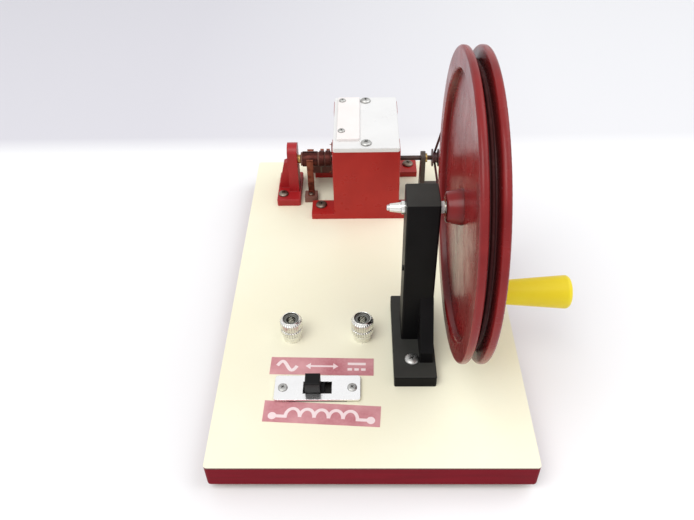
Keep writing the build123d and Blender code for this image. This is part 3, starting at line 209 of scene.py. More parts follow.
def laminate_look():
    """Cream laminate with a faint fleck, finger haze, satin texture and a dark core at its edge."""
    look = Look("laminate", shine=0.4)
    cloud = look.noise(18, 4)
    fleck = look.span(look.noise(2600, 2), 0.62, 0.75)
    tone = look.blend(
        look.span(cloud, 0.35, 0.7), (0.95, 0.915, 0.70), (0.965, 0.94, 0.75)
    )
    sheet = look.blend(look.both(fleck, 0.3), tone, (0.82, 0.72, 0.54))
    look.set("Base Color", look.blend(look.upward(), (0.11, 0.022, 0.022), sheet))
    look.set("Roughness", look.span(look.noise(45, 5), 0.3, 0.7, 0.30, 0.46))
    look.relief(look.noise(3200, 2), 0.00002, 0.25)
    return look.material


def edge_look():
    """Crimson edge band: satin, streaked along its length and scuffed at its edges."""
    look = Look("edge_band", shine=0.06)
    streak = look.noise(30, 4, look.stretched(1, 1, 14))
    tone = look.blend(
        look.span(streak, 0.3, 0.75), (0.165, 0.003, 0.010), (0.225, 0.007, 0.017)
    )
    mask, rounded = look.edges(0.0006)
    wear = look.both(mask, look.span(look.noise(160, 4), 0.56, 0.70))
    look.set("Base Color", look.blend(look.both(wear, 0.6), tone, (0.46, 0.14, 0.14)))
    look.set("Roughness", look.span(streak, 0.2, 0.8, 0.44, 0.58))
    look.relief(look.noise(500, 3), 0.00004, 0.3, rounded)
    return look.material


def moulded_look(
    name, dark, light, rough, grain=1400, shine=0.5, worn=None, pale_tone=None, groove_shade=None
):
    """Moulded plastic: cloudy tone, fine skin, soft worn edges, tops made paler as dust and painted
    light from above, painted shade in grooves.
    """
    look = Look(name, shine=shine)
    cloud = look.noise(70, 4)
    tone = look.blend(look.span(cloud, 0.3, 0.7), dark, light)
    mask, rounded = look.edges(0.0005)
    if worn:
        wear = look.both(mask, look.span(look.noise(260, 4), 0.5, 0.74))
        tone = look.blend(look.both(wear, 0.45), tone, worn)
    # Faces that look up are made paler: partly dust, partly painted light from above
    if pale_tone:
        dust_and_painted_top_light = look.both(look.upward(), look.span(look.noise(90, 4), 0.2, 0.6, 0.75, 1.0))
        tone = look.blend(dust_and_painted_top_light, tone, pale_tone)
    # Corners and grooves are darkened: painted shade
    if groove_shade:
        tone = look.blend(look.shade_in_crevices(0.004), tone, groove_shade)
    look.set("Base Color", tone)
    look.set("Roughness", look.span(look.noise(120, 5), 0.3, 0.7, rough - 0.04, rough + 0.06))
    look.relief(look.noise(grain, 2), 0.00003, 0.35, rounded)
    return look.material


def painted_look(name, dark, light, rough=0.3):
    """Paint brushed on iron: orange peel, uneven tone, dark chips on its edges."""
    look = Look(name, shine=0.35)
    cloud = look.noise(55, 5)
    tone = look.blend(look.span(cloud, 0.3, 0.72), dark, light)
    mask, rounded = look.edges(0.0005)
    chips = look.both(mask, look.span(look.noise(420, 4), 0.60, 0.68))
    look.set("Base Color", look.blend(chips, tone, (0.10, 0.025, 0.02)))
    look.set("Roughness", look.span(look.noise(200, 3), 0.3, 0.7, rough - 0.04, rough + 0.1))
    look.relief(look.noise(620, 2), 0.00005, 0.35, rounded)
    return look.material


def metal_look(
    name, dark, light, rough, stretch=(1, 1, 1), scale=900, tarnish=None, corner_shade=None, dark_reflection_above=None
):
    """Bare metal with fine working marks, a little tarnish, painted shade in corners or a painted
    dark reflection on its top.
    """
    look = Look(name, metallic=1.0)
    marks = look.noise(scale, 3, look.stretched(*stretch))
    tone = look.blend(look.span(look.noise(150, 4), 0.3, 0.7), dark, light)
    if tarnish:
        stain = look.span(look.noise(320, 5), 0.52, 0.72)
        tone = look.blend(look.both(stain, 0.8), tone, tarnish)
    # Corners and grooves are darkened: painted shade
    if corner_shade:
        tone = look.blend(look.both(look.shade_in_crevices(0.0009), 0.85), tone, corner_shade)
    # Above a height the metal is painted dark: a painted dark reflection
    if dark_reflection_above:
        top = look.along("Z", dark_reflection_above - 0.0001, dark_reflection_above)
        tone = look.blend(top, tone, (0.17, 0.17, 0.155))
    rounded = look.edges(0.00025)[1]
    look.set("Base Color", tone)
    look.set("Roughness", look.span(marks, 0.25, 0.75, rough - 0.07, rough + 0.12))
    look.relief(marks, 0.00001, 0.4, rounded)
    return look.material


def rubber_look(name, tone, pale_tone=(0.12, 0.11, 0.10)):
    """Dull rubber with dust in its pores."""
    look = Look(name, shine=0.3)
    dust = look.span(look.noise(350, 5), 0.5, 0.8)
    look.set("Base Color", look.blend(look.both(dust, 0.3), tone, pale_tone))
    look.set("Roughness", look.span(look.noise(900, 2), 0.3, 0.7, 0.65, 0.85))
    look.relief(look.noise(1500, 3), 0.00004, 0.4)
    return look.material


def chipboard_look():
    """Pressed wood chips, seen under the board."""
    look = Look("chipboard")
    chips = look.cells(420)
    tone = look.blend(look.span(chips, 0.0, 0.9), (0.30, 0.20, 0.11), (0.55, 0.40, 0.24))
    clouded = look.blend(look.span(look.noise(90, 4), 0.4, 0.7), tone, (0.42, 0.29, 0.17))
    look.set("Base Color", clouded)
    look.set("Roughness", look.span(look.noise(300, 3), 0.3, 0.7, 0.7, 0.9))
    look.relief(chips, 0.00012, 0.5)
    return look.material


def label_look(name, dark, light):
    """Faded red label tape: mottled where it has bleached, with a dull sheen."""
    look = Look(name, shine=0.3)
    fade = look.span(look.noise(60, 4), 0.32, 0.68)
    grain = look.span(look.noise(900, 2), 0.35, 0.65)
    tone = look.blend(fade, dark, light)
    look.set("Base Color", look.blend(look.both(grain, 0.25), tone, light))
    look.set("Roughness", look.span(look.noise(200, 3), 0.3, 0.7, 0.45, 0.6))
    look.relief(look.noise(700, 3), 0.00002, 0.3)
    return look.material


LOOKS = {
    "core_board": chipboard_look(),
    "laminate": laminate_look(),
    "edge": edge_look(),
    "rubber": rubber_look("rubber", (0.018, 0.018, 0.019)),
    # Darker in the recesses of its heads and in corners: painted shade
    "screw_steel": metal_look("screw_steel", (0.40, 0.40, 0.385), (0.54, 0.54, 0.52), 0.40,
                              tarnish=(0.30, 0.29, 0.27), corner_shade=(0.05, 0.045, 0.04)),
    # Tops made paler: partly dust, partly painted light from above
    "black_plastic": moulded_look("black_plastic", (0.0035, 0.0033, 0.0036), (0.007, 0.0066, 0.007),
                                  0.42, shine=0.09, worn=(0.03, 0.03, 0.03),
                                  pale_tone=(0.045, 0.045, 0.041)),
    # Darker in its groove and the corners of its rim: painted shade
    "wheel_red": moulded_look("wheel_red", (0.185, 0.009, 0.010), (0.26, 0.017, 0.017), 0.24,
                              grain=900, shine=0.27, worn=(0.34, 0.09, 0.08),
                              groove_shade=(0.06, 0.010, 0.010)),
    "handle_yellow": moulded_look("handle_yellow", (0.84, 0.65, 0.010), (0.90, 0.73, 0.018), 0.36,
                                  grain=800, shine=0.34, worn=(0.92, 0.80, 0.16)),
    "belt_rubber": rubber_look("belt_rubber", (0.050, 0.006, 0.006), (0.12, 0.05, 0.045)),
    "pole_red": painted_look("pole_red", (0.36, 0.008, 0.007), (0.45, 0.014, 0.010)),
    "stand_red": moulded_look("stand_red", (0.34, 0.010, 0.014), (0.43, 0.018, 0.020), 0.36,
                              shine=0.35, worn=(0.55, 0.16, 0.14)),
    "magnet": painted_look("magnet", (0.045, 0.045, 0.05), (0.08, 0.08, 0.085), 0.5),
    "white_plastic": moulded_look("white_plastic", (0.77, 0.768, 0.76), (0.81, 0.808, 0.80), 0.3,
                                  grain=700, shine=0.4),
    "strip": moulded_look("strip", (0.86, 0.805, 0.78), (0.90, 0.85, 0.83), 0.4, shine=0.3),
    "core_steel": metal_look("core_steel", (0.22, 0.22, 0.23), (0.34, 0.34, 0.34), 0.42,
                             stretch=(30, 1, 1), scale=120, tarnish=(0.20, 0.11, 0.06)),
    "shaft_steel": metal_look("shaft_steel", (0.50, 0.50, 0.50), (0.66, 0.66, 0.65), 0.22,
                              stretch=(12, 1, 1), scale=220),
    "dark_steel": metal_look("dark_steel", (0.045, 0.030, 0.028), (0.09, 0.065, 0.06), 0.4,
                             stretch=(12, 1, 1), scale=220, tarnish=(0.07, 0.03, 0.02)),
    "bobbin": moulded_look("bobbin", (0.62, 0.52, 0.36), (0.70, 0.61, 0.44), 0.6),
    "enamel_wire": metal_look("enamel_wire", (0.42, 0.09, 0.03), (0.58, 0.16, 0.05), 0.26),
    "fibre": moulded_look("fibre", (0.15, 0.060, 0.045), (0.24, 0.11, 0.085), 0.6, shine=0.3),
    "copper": metal_look("copper", (0.050, 0.014, 0.012), (0.10, 0.030, 0.024), 0.42,
                         stretch=(10, 1, 1), scale=260, tarnish=(0.020, 0.009, 0.008)),
    "spring_brass": metal_look("spring_brass", (0.16, 0.042, 0.028), (0.28, 0.095, 0.06), 0.42,
                               stretch=(1, 1, 8), scale=400, tarnish=(0.07, 0.02, 0.015)),
    "bearing_brass": metal_look("bearing_brass", (0.40, 0.26, 0.09), (0.55, 0.38, 0.14), 0.32,
                                tarnish=(0.20, 0.11, 0.05)),
    "bracket_steel": painted_look("bracket_steel", (0.035, 0.024, 0.019), (0.065, 0.046, 0.036),
                                  0.4),
    "pulley_black": moulded_look("pulley_black", (0.040, 0.008, 0.009), (0.070, 0.018, 0.018),
                                 0.34),
    # Darker in the knurl's valleys and other corners: painted shade
    "nickel": metal_look("nickel", (0.74, 0.735, 0.70), (0.84, 0.835, 0.80), 0.16,
                         corner_shade=(0.16, 0.155, 0.14)),
    "tin": metal_look("tin", (0.93, 0.93, 0.925), (0.97, 0.97, 0.965), 0.2, stretch=(6, 1, 1),
                      scale=200),
    "switch_bakelite": moulded_look("switch_bakelite", (0.006, 0.005, 0.004), (0.012, 0.010, 0.008),
                                    0.5, shine=0.3),
}
LABEL_RED = label_look("label_red", (0.50, 0.16, 0.19), (0.74, 0.38, 0.40))
LABEL_MARK = label_look("label_mark", (0.90, 0.68, 0.69), (0.97, 0.85, 0.85))
SLIDER_BLACK = moulded_look("slider_black", (0.004, 0.0038, 0.004), (0.008, 0.0075, 0.008), 0.4,
                            shine=0.15, worn=(0.03, 0.03, 0.03))
# Darker metal for the cup in a nut's top: a painted dark reflection
CUP_DARK_REFLECTION = metal_look("cup_dark_reflection", (0.15, 0.15, 0.135), (0.26, 0.258, 0.24), 0.42)
# Nickel whose top above the nuts is painted dark: a painted dark reflection
STUD_NICKEL = metal_look("stud_nickel", (0.74, 0.735, 0.70), (0.84, 0.835, 0.80), 0.22,
                         dark_reflection_above=(DECK + 10.9) * MM)
# A paler copy of the white plastic for the axle spacer: painted light, so that it stays bright in the
# shade of the wheel and stand
SPACER_PAINTED_LIGHT = moulded_look("spacer_painted_light", (0.93, 0.93, 0.925), (0.96, 0.96, 0.955), 0.3)
# Darker in its recesses and corners: painted shade
DULL_STEEL = metal_look("dull_steel", (0.15, 0.115, 0.09), (0.27, 0.22, 0.18), 0.44,
                        tarnish=(0.10, 0.06, 0.04), corner_shade=(0.04, 0.03, 0.025))


def dress(piece, slot):
    """Gives a piece the look of a material slot of the record."""
    piece.data.materials.clear()
    piece.data.materials.append(LOOKS[slot])


for subpart in frame["record"]["subparts"]:
    dress(frame["nodes"][subpart["node"]], subpart["material_slot"])
frame["nodes"]["switch_slider"].data.materials[0] = SLIDER_BLACK
# The spacer takes the paler copy of white plastic, as painted light
frame["nodes"]["axle_spacer"].data.materials[0] = SPACER_PAINTED_LIGHT
# The studs' tops take a painted dark reflection
frame["nodes"]["terminal_studs"].data.materials[0] = STUD_NICKEL


def add_piece(name, mesh, slot, body="stand", look=None):
    """Links a mesh as a piece that rides on a body."""
    piece = bpy.data.objects.new(name, mesh)
    bpy.context.scene.collection.objects.link(piece)
    mesh.materials.append(look or LOOKS[slot])
    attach(piece, body)
    return piece


SMOOTH_ANGLE = 35


def mesh_of(name, form, angle=SMOOTH_ANGLE):
    """A mesh from a bmesh, shaded smooth up to an angle."""
    bmesh.ops.recalc_face_normals(form, faces=form.faces)
    for face in form.faces:
        face.smooth = True
    for edge in form.edges:
        if len(edge.link_faces) == 2 and edge.calc_face_angle(0) > math.radians(angle):
            edge.smooth = False
    mesh = bpy.data.meshes.new(name)
    form.to_mesh(mesh)
    form.free()
    return mesh


def islands(node):
    """The separate solids of a CAD node, each as its list of vertex places."""
    mesh = frame["nodes"][node].data
    form = bmesh.new()
    form.from_mesh(mesh)
    bmesh.ops.remove_doubles(form, verts=form.verts, dist=1e-6)
    left_over = set(form.verts)
    found = []
    while left_over:
        seed = left_over.pop()
        group = [seed]
        reach = [seed]
        while reach:
            vertex = reach.pop()
            for edge in vertex.link_edges:
                other = edge.other_vert(vertex)
                if other in left_over:
                    left_over.remove(other)
                    group.append(other)
                    reach.append(other)
        found.append([vertex.co.copy() for vertex in group])
    form.free()
    return sorted(found, key=lambda places: tuple(round(v, 6) for v in places_low(places)))


def places_low(places):
    """The lowest corner of a list of places."""
    return [min(place[axis] for place in places) for axis in range(3)]


def places_high(places):
    """The highest corner of a list of places."""
    return [max(place[axis] for place in places) for axis in range(3)]


# Screws, with a cross or a slot cut into their heads
def lathe(form, profile, centre, sides):
    """Turns a profile of (radius, z) about the vertical through centre, closed at its ends."""
    rings = []
    for radius, z in profile:
        if radius == 0:
            rings.append([form.verts.new((centre.x, centre.y, z))])
            continue
        ring = []
        for i in range(sides):
            turn = 2 * math.pi * i / sides
            ring.append(
                form.verts.new(
                    (centre.x + radius * math.cos(turn), centre.y + radius * math.sin(turn), z)
                )
            )
        rings.append(ring)
    for low, high in zip(rings, rings[1:]):
        for i in range(sides):
            j = (i + 1) % sides
            if len(low) == 1:
                form.faces.new((low[0], high[i], high[j]))
            elif len(high) == 1:
                form.faces.new((low[i], low[j], high[0]))
            else:
                form.faces.new((low[i], low[j], high[j], high[i]))


def carve(piece, cutter_mesh):
    """Cuts a mesh out of a piece and applies the cut."""
    cutter = bpy.data.objects.new("cutter", cutter_mesh)
    bpy.context.scene.collection.objects.link(cutter)
    cut = piece.modifiers.new("cut", "BOOLEAN")
    cut.operation = "DIFFERENCE"
    cut.solver = "EXACT"
    cut.object = cutter
    shown = piece.evaluated_get(bpy.context.evaluated_depsgraph_get())
    carved = bpy.data.meshes.new_from_object(shown)
    piece.modifiers.remove(cut)
    piece.data = carved
    bpy.data.objects.remove(cutter)


def recess_cutter(form, centre, turn, arms, reach, half_width, low, high):
    """A cross or a bar for cutting a screw's recess: narrower and shorter at its bottom."""
    rings = []
    for z, share in ((low, 0.55), (high, 1.0)):
        ring = []
        for arm in range(arms):
            angle = turn + 2 * math.pi * arm / arms
            along = Vector((math.cos(angle), math.sin(angle), 0)) * share
            aside = Vector((-math.sin(angle), math.cos(angle), 0)) * half_width * share
            places = [centre + along * reach - aside, centre + along * reach + aside]
            if arms == 4:
                places.append(centre + along * half_width + aside)
            ring += [form.verts.new((place.x, place.y, z)) for place in places]
        rings.append(ring)
    bottom, top = rings
    form.faces.new(bottom[::-1])
    form.faces.new(top)
    count = len(top)
    for i in range(count):
        j = (i + 1) % count
        form.faces.new((bottom[i], bottom[j], top[j], top[i]))


# A screw's head: its straight rim and its recess are shares of the head's height, and each
# recess has its count of arms and then its reach and half width as shares of the head's radius
HEAD_SIDES = 40
DOME_STEPS = 8
RIM_SHARE = 0.3
RECESS_DEPTH = 0.62
RECESSES = {"cross": (4, 0.58, 0.13), "slot": (2, 1.6, 0.11)}
TURN_PER_SCREW = 1.1


def make_screws(node, kind, first_turn, look=None):
    """Replaces a node of domed screws by screws with a cross or slot in each head."""
    bodies = bmesh.new()
    cutters = bmesh.new()
    for index, places in enumerate(islands(node)):
        low = places_low(places)
        high = places_high(places)
        centre = Vector(((low[0] + high[0]) / 2, (low[1] + high[1]) / 2, 0))
        radius = (high[0] - low[0]) / 2
        wide = [p.z for p in places if (Vector((p.x, p.y, 0)) - centre).length > radius * 0.99]
        upright = high[2] - max(wide) < min(wide) - low[2]
        way = 1 if upright else -1
        top, seat, far = (high[2], min(wide), low[2]) if upright else (low[2], max(wide), high[2])
        shank = max(
            (Vector((p.x, p.y, 0)) - centre).length for p in places if abs(p.z - far) < 1e-6
        )
        height = abs(top - seat)
        edge = height * RIM_SHARE
        profile = [(0, far), (shank, far), (shank, seat), (radius, seat), (radius, seat + way * edge)]
        for step in range(1, DOME_STEPS):
            angle = math.pi / 2 * step / DOME_STEPS
            profile.append(
                (radius * math.cos(angle), seat + way * (edge + (height - edge) * math.sin(angle)))
            )
        profile.append((0, top))
        lathe(bodies, profile, centre, HEAD_SIDES)
        turn = first_turn + TURN_PER_SCREW * index
        bottom = top - way * height * RECESS_DEPTH
        above = top + way * height
        arms, reach, half_width = RECESSES[kind]
        recess_cutter(
            cutters, centre, turn, arms, radius * reach, radius * half_width, bottom, above
        )
    piece = add_piece(f"{node}_recessed", mesh_of(node, bodies), "screw_steel", look=look)
    carve(piece, mesh_of("recesses", cutters))
    edge_smooth(piece.data)
    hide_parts(node)


def edge_smooth(mesh):
    """Shades a finished mesh smooth up to the usual angle."""
    limit = math.radians(SMOOTH_ANGLE)
    form = bmesh.new()
    form.from_mesh(mesh)
    for face in form.faces:
        face.smooth = True
    for edge in form.edges:
        edge.smooth = len(edge.link_faces) == 2 and edge.calc_face_angle(0) < limit
    form.to_mesh(mesh)
    form.free()


make_screws("wheel_stand_screws", "cross", 0.5)
make_screws("pole_block_screws", "cross", 0.2, DULL_STEEL)
make_screws("bearing_stand_screws", "cross", 0.9, DULL_STEEL)
make_screws("bearing_bracket_screws", "cross", 0.4, DULL_STEEL)
make_screws("cover_screws", "cross", 0.7)
make_screws("strip_screws", "cross", 0.3)
make_screws("switch_screws", "cross", 1.2)
make_screws("brush_screws", "slot", 0.6, DULL_STEEL)
make_screws("foot_screws", "cross", 0.1)


# Wound and soft pieces: one tube along a list of points
def tube(form, points, radius, sides, closed=False):
    """A round tube along points, its section carried along without twisting."""
    count = len(points)
    side = None
    rings = []
    for i, point in enumerate(points):
        before = points[i - 1] if closed or i > 0 else point
        after = points[(i + 1) % count] if closed or i < count - 1 else point
        way = (after - before).normalized()
        if side is None:
            side = way.orthogonal()
        side = (side - way * side.dot(way)).normalized()
        other = way.cross(side)
        ring = []
        for k in range(sides):
            turn = 2 * math.pi * k / sides
            ring.append(
                form.verts.new(
                    point + side * (radius * math.cos(turn)) + other * (radius * math.sin(turn))
                )
            )
        rings.append(ring)
    pairs = list(zip(rings, rings[1:]))
    if closed:
        last = rings[-1]
        first = rings[0]
        near = min(range(sides), key=lambda k: (first[k].co - last[0].co).length)
        turned_first = first[near:] + first[:near]
        pairs.append((last, turned_first))
    else:
        form.faces.new(rings[0][::-1])
        form.faces.new(rings[-1])
    for low, high in pairs:
        for k in range(sides):
            j = (k + 1) % sides
            form.faces.new((low[k], low[j], high[j], high[k]))


# The armature's middle, its shaft and the drive wheel's middle, in millimetres as in the source
DYNAMO_X = BOARD_LEFT + 62.85
SHAFT_Y = 72.6
SHAFT_Z = DECK + 21.5
WHEEL_X = 26.7
WHEEL_Y = -35.3
WHEEL_Z = DECK + 71.6


def make_winding():
    """Thin enamelled wire, wound lengthwise in three layers beside the shaft on each side."""
    wire = 0.195
    wire_sides = 6
    front_tag = (-19.6, 5.95, 5.125)
    rear_tag = (-19.6, -5.25, -5.125)
    straight = 10.8
    first_height = 4.83
    layer_rise = 0.345
    near = 2.17
    far = 6.2
    runs = 20
    stops = []
    for group in (1, -1):
        for layer in range(3):
            outward = (layer % 2 == 0) == (group == -1)
            start, end = (near, far) if outward else (far, near)
            last_turn_short = group == 1 and layer == 2
            for i in range(runs - last_turn_short):
                share = i / runs
                place = group * (start + (end - start) * share)
                stops.append((place, first_height + layer_rise * layer))
    stops.append((-far, first_height + layer_rise * 2))
    points = [front_tag]
    bend_steps = 9
    crossing_steps = 8
    for i, ((y_from, rise), (y_to, rise_next)) in enumerate(zip(stops, stops[1:])):
        way = 1 if i % 2 == 0 else -1
        pieces = crossing_steps if y_from * y_to < 0 else 1
        for k in range(pieces + 1):
            share = k / pieces
            smooth = share * share * (3 - 2 * share)
            points.append(
                (way * straight * (2 * share - 1), y_from + (y_to - y_from) * smooth, way * rise)
            )
        if i == len(stops) - 2:
            break
        for k in range(1, bend_steps):
            angle = math.pi * k / bend_steps
            reach = rise + (rise_next - rise) * k / bend_steps
            points.append(
                (way * (straight + reach * math.sin(angle)), y_to, way * reach * math.cos(angle))
            )
    points.append(rear_tag)
    form = bmesh.new()
    middle = Vector((DYNAMO_X, SHAFT_Y, SHAFT_Z))
    tube(form, [(middle + Vector(point)) * MM for point in points], wire * MM, wire_sides)
    piece = add_piece("armature_wire", mesh_of("armature_wire", form, angle=80), "enamel_wire",
                      "armature")
    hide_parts("armature_winding")


def make_belt():
    """The round rubber belt: about the wheel's groove, two runs and the pulley's groove."""
    radius = 0.6
    wheel = Vector((WHEEL_X, WHEEL_Y, WHEEL_Z))
    pulley = Vector((WHEEL_X, SHAFT_Y, SHAFT_Z))
    wheel_radius = 53.5
    pulley_radius = 3.65
    between = pulley - wheel
    line = math.atan2(between.z, between.y)
    opening = math.acos((wheel_radius - pulley_radius) / between.length)
    points = []
    for centre, size, start, sweep, count in (
        (wheel, wheel_radius, line + opening, 2 * math.pi - 2 * opening, 180),
        (pulley, pulley_radius, line - opening, 2 * opening, 28),
    ):
        for i in range(count + 1):
            angle = start + sweep * i / count
            points.append(centre + Vector((0, math.cos(angle), math.sin(angle))) * size)
    form = bmesh.new()
    tube(form, [point * MM for point in points], radius * MM, 16, closed=True)
    piece = add_piece("round_belt", mesh_of("round_belt", form, angle=60), "belt_rubber")
    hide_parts("drive_belt")


make_winding()
make_belt()


# Binding posts: knurled nuts
def knurled_band(radius, bottom, full_from, full_to, top):
    """A toothed band's profile of (radius, z, toothed), bevelled at its bottom and its top."""
    return [
        (radius - 0.0004, bottom, 1),
        (radius - 0.0002, full_from, 1),
        (radius - 0.0002, full_to, 1),
        (radius - 0.0004, top, 1),
    ]


def make_knurled_knob(node, body):
    """A thumb nut with a band of straight knurling above and below its waist."""
    low, high = (Vector(corner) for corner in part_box(node))
    centre = (low + high) / 2
    radius = (high.x - low.x) / 2
    height = high.z - low.z
    bore = min(
        (Vector((v.co.x, v.co.y, 0)) - Vector((centre.x, centre.y, 0))).length
        for v in frame["nodes"][node].data.vertices
    )
    teeth = 26
    per_tooth = 8
    tooth_depth = 0.0002
    profile = [(bore, 0.0, 0), (radius - 0.0011, 0.0, 0), (radius - 0.0007, 0.0003, 0)]
    profile += knurled_band(radius, 0.0006, 0.0008, 0.0029, 0.0031)
    profile += [(radius - 0.0006, 0.0032, 0), (radius - 0.0006, 0.0037, 0)]
    profile += knurled_band(radius, 0.0038, 0.0040, 0.0072, 0.0075)
    profile += [(radius - 0.0007, 0.0078, 0), (radius - 0.0009, 0.0082, 0)]
    profile += [(radius - 0.0011, height - 0.0001, 0), (radius - 0.0012, height, 0)]
    profile.append((radius - 0.0014, height - 0.0001, 0))
    cup = len(profile) - 1
    profile += [(bore + 0.0003, height - 0.0009, 0), (bore, height - 0.0010, 0)]
    form = bmesh.new()
    sides = teeth * per_tooth
    rings = []
    for ring_radius, z, toothed in profile:
        ring = []
        for i in range(sides):
            turn = 2 * math.pi * i / sides
            crest = abs((i % per_tooth) / per_tooth - 0.5) * 2
            reach = ring_radius - toothed * tooth_depth * (2 * crest - 1)
            x = centre.x + reach * math.cos(turn)
            y = centre.y + reach * math.sin(turn)
            ring.append(form.verts.new((x, y, low.z + z)))
        rings.append(ring)
    for index, (below, above) in enumerate(zip(rings, rings[1:] + rings[:1])):
        for i in range(sides):
            j = (i + 1) % sides
            face = form.faces.new((below[i], below[j], above[j], above[i]))
            face.material_index = 1 if index >= cup else 0
    piece = add_piece(f"{node}_knurled", mesh_of(node, form, angle=25), "nickel", body)
    # The cup in the nut's top takes a darker metal, as a painted dark reflection
    piece.data.materials.append(CUP_DARK_REFLECTION)
    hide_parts(node)


make_knurled_knob("terminal_knob_left", "left_terminal_knob")
make_knurled_knob("terminal_knob_right", "right_terminal_knob")


# Labels: thin tape on the laminate, its ends a little raised, with plain signs in place of words
TAPE = 0.12
CURL_HEIGHT = 0.05
CURL_FROM = 0.93
# The signs start inside the tape, and their heights differ so that pieces that cross don't flicker
INK_SUNK = 0.02
INK_RAISED = 0.03
INK_STEP = 0.001
INK_LEVELS = 13


def flat_form(form, outline, low, high):
    """A flat plate with this outline of board places in millimetres."""
    bottom = [form.verts.new(spot(x, y, low)) for x, y in outline]
    top = [form.verts.new(spot(x, y, high)) for x, y in outline]
    form.faces.new(bottom[::-1])
    form.faces.new(top)
    count = len(outline)
    for i in range(count):
        j = (i + 1) % count
        form.faces.new((bottom[i], bottom[j], top[j], top[i]))


def tape_place(corners, u, v):
    """A place on the tape: u from left to right and v from front to back, each 0 to 1."""
    (ax, ay), (bx, by), (cx, cy), (dx, dy) = corners
    x = (ax * (1 - u) + bx * u) * (1 - v) + (dx * (1 - u) + cx * u) * v
    y = (ay * (1 - u) + by * u) * (1 - v) + (dy * (1 - u) + cy * u) * v
    return x, y


def make_tape(name, corners):
    """A strip of tape, with its front left, front right, back right and back left corners."""
    form = bmesh.new()
    columns = 40
    rows = 8
    grid = []
    for j in range(rows + 1):
        line = []
        for i in range(columns + 1):
            u = i / columns
            v = j / rows
            x, y = tape_place(corners, u, v)
            lift = CURL_HEIGHT * max(0, abs(2 * u - 1) - CURL_FROM) / (1 - CURL_FROM)
            line.append(form.verts.new(spot(x, y, TAPE + lift)))
        grid.append(line)
    for j in range(rows):
        for i in range(columns):
            form.faces.new((grid[j][i], grid[j][i + 1], grid[j + 1][i + 1], grid[j + 1][i]))
    rim = [edge for edge in form.edges if edge.is_boundary]
    made = bmesh.ops.extrude_edge_only(form, edges=rim)
    for vertex in (v for v in made["geom"] if isinstance(v, bmesh.types.BMVert)):
        vertex.co.z = spot(0, 0, 0.01).z
    floor_rim = [e for e in made["geom"] if isinstance(e, bmesh.types.BMEdge) and e.is_boundary]
    bmesh.ops.holes_fill(form, edges=floor_rim)
    add_piece(name, mesh_of(name, form), "stand_red", look=LABEL_RED)


def band(points, width):
    """An even band along a list of points, as the four-cornered pieces that make it up."""
    sides = []
    for i, point in enumerate(points):
        before = Vector(points[max(i - 1, 0)])
        after = Vector(points[min(i + 1, len(points) - 1)])
        way = (after - before).normalized()
        aside = Vector((-way.y, way.x)) * width / 2
        sides.append((tuple(Vector(point) + aside), tuple(Vector(point) - aside)))
    return [
        [left_from, right_from, right_to, left_to]
        for (left_from, right_from), (left_to, right_to) in zip(sides, sides[1:])
    ]


def wave(x, y, length, height):
    """One period of a sine wave, as points."""
    count = 24
    return [
        (x + length * (i / count - 0.5), y + height / 2 * math.sin(2 * math.pi * i / count))
        for i in range(count + 1)
    ]


def make_marks(name, outlines, tilt, pivot):
    """Plain signs printed on a tape, given flat and then turned with it."""
    form = bmesh.new()
    cos_tilt = math.cos(tilt)
    sin_tilt = math.sin(tilt)
    for index, outline in enumerate(outlines):
        turned = []
        for x, y in outline:
            dx = x - pivot[0]
            dy = y - pivot[1]
            turned.append(
                (pivot[0] + dx * cos_tilt - dy * sin_tilt, pivot[1] + dx * sin_tilt + dy * cos_tilt)
            )
        top = TAPE + INK_RAISED + INK_STEP * (index % INK_LEVELS)
        flat_form(form, turned, TAPE - INK_SUNK, top)
    bmesh.ops.triangulate(form, faces=[f for f in form.faces if len(f.verts) > 4])
    add_piece(name, mesh_of(name, form), "strip", look=LABEL_MARK)


def box_outline(x, y, width, height):
    """A rectangle about a point."""
    return [
        (x - width / 2, y - height / 2),
        (x + width / 2, y - height / 2),
        (x + width / 2, y + height / 2),
        (x - width / 2, y + height / 2),
    ]


def arrow_outlines(x, y, length, stem, head):
    """A double-headed arrow along X about a point: its stem and its two heads."""
    half = length / 2
    overlap = 0.1
    spread = head * 0.75
    outlines = [box_outline(x, y, length - 2 * head + overlap, stem)]
    for way in (-1, 1):
        tip = (x + way * half, y)
        low = (x + way * (half - head), y - way * spread)
        high = (x + way * (half - head), y + way * spread)
        outlines.append([tip, high, low])
    return outlines


def arc_points(x, y, across, rise, start, sweep, steps):
    """Points on an ellipse's arc about a point, both ends included."""
    turns = [start + sweep * step / steps for step in range(steps + 1)]
    return [(x + across * math.cos(turn), y + rise * math.sin(turn)) for turn in turns]


def coil_outlines(x, y):
    """A coil about a point: loops on a line, with a lead and a dot at each end."""
    loops = 5
    loop_radius = 2.9
    loop_rise = 1.35 * loop_radius
    stroke = 1.4
    lead = 3.6
    dot = 1.7
    dot_sides = 28
    signs = []
    for i in range(loops):
        middle_x = x + (i - (loops - 1) / 2) * 2 * loop_radius
        loop = arc_points(middle_x, y, loop_radius, loop_rise, math.pi, -math.pi, 12)
        signs += band(loop, stroke)
    for way in (-1, 1):
        start_x = x + way * (loops * loop_radius - stroke / 2)
        end_x = x + way * (loops * loop_radius + lead + dot)
        signs.append(box_outline((start_x + end_x) / 2, y, abs(end_x - start_x), stroke))
        signs.append(arc_points(end_x, y, dot, dot, 0, 2 * math.pi, dot_sides)[:-1])
    return signs


def tilt_of(corners):
    """The angle of a tape's front edge."""
    (ax, ay), (bx, by) = corners[:2]
    return math.atan2(by - ay, bx - ax)


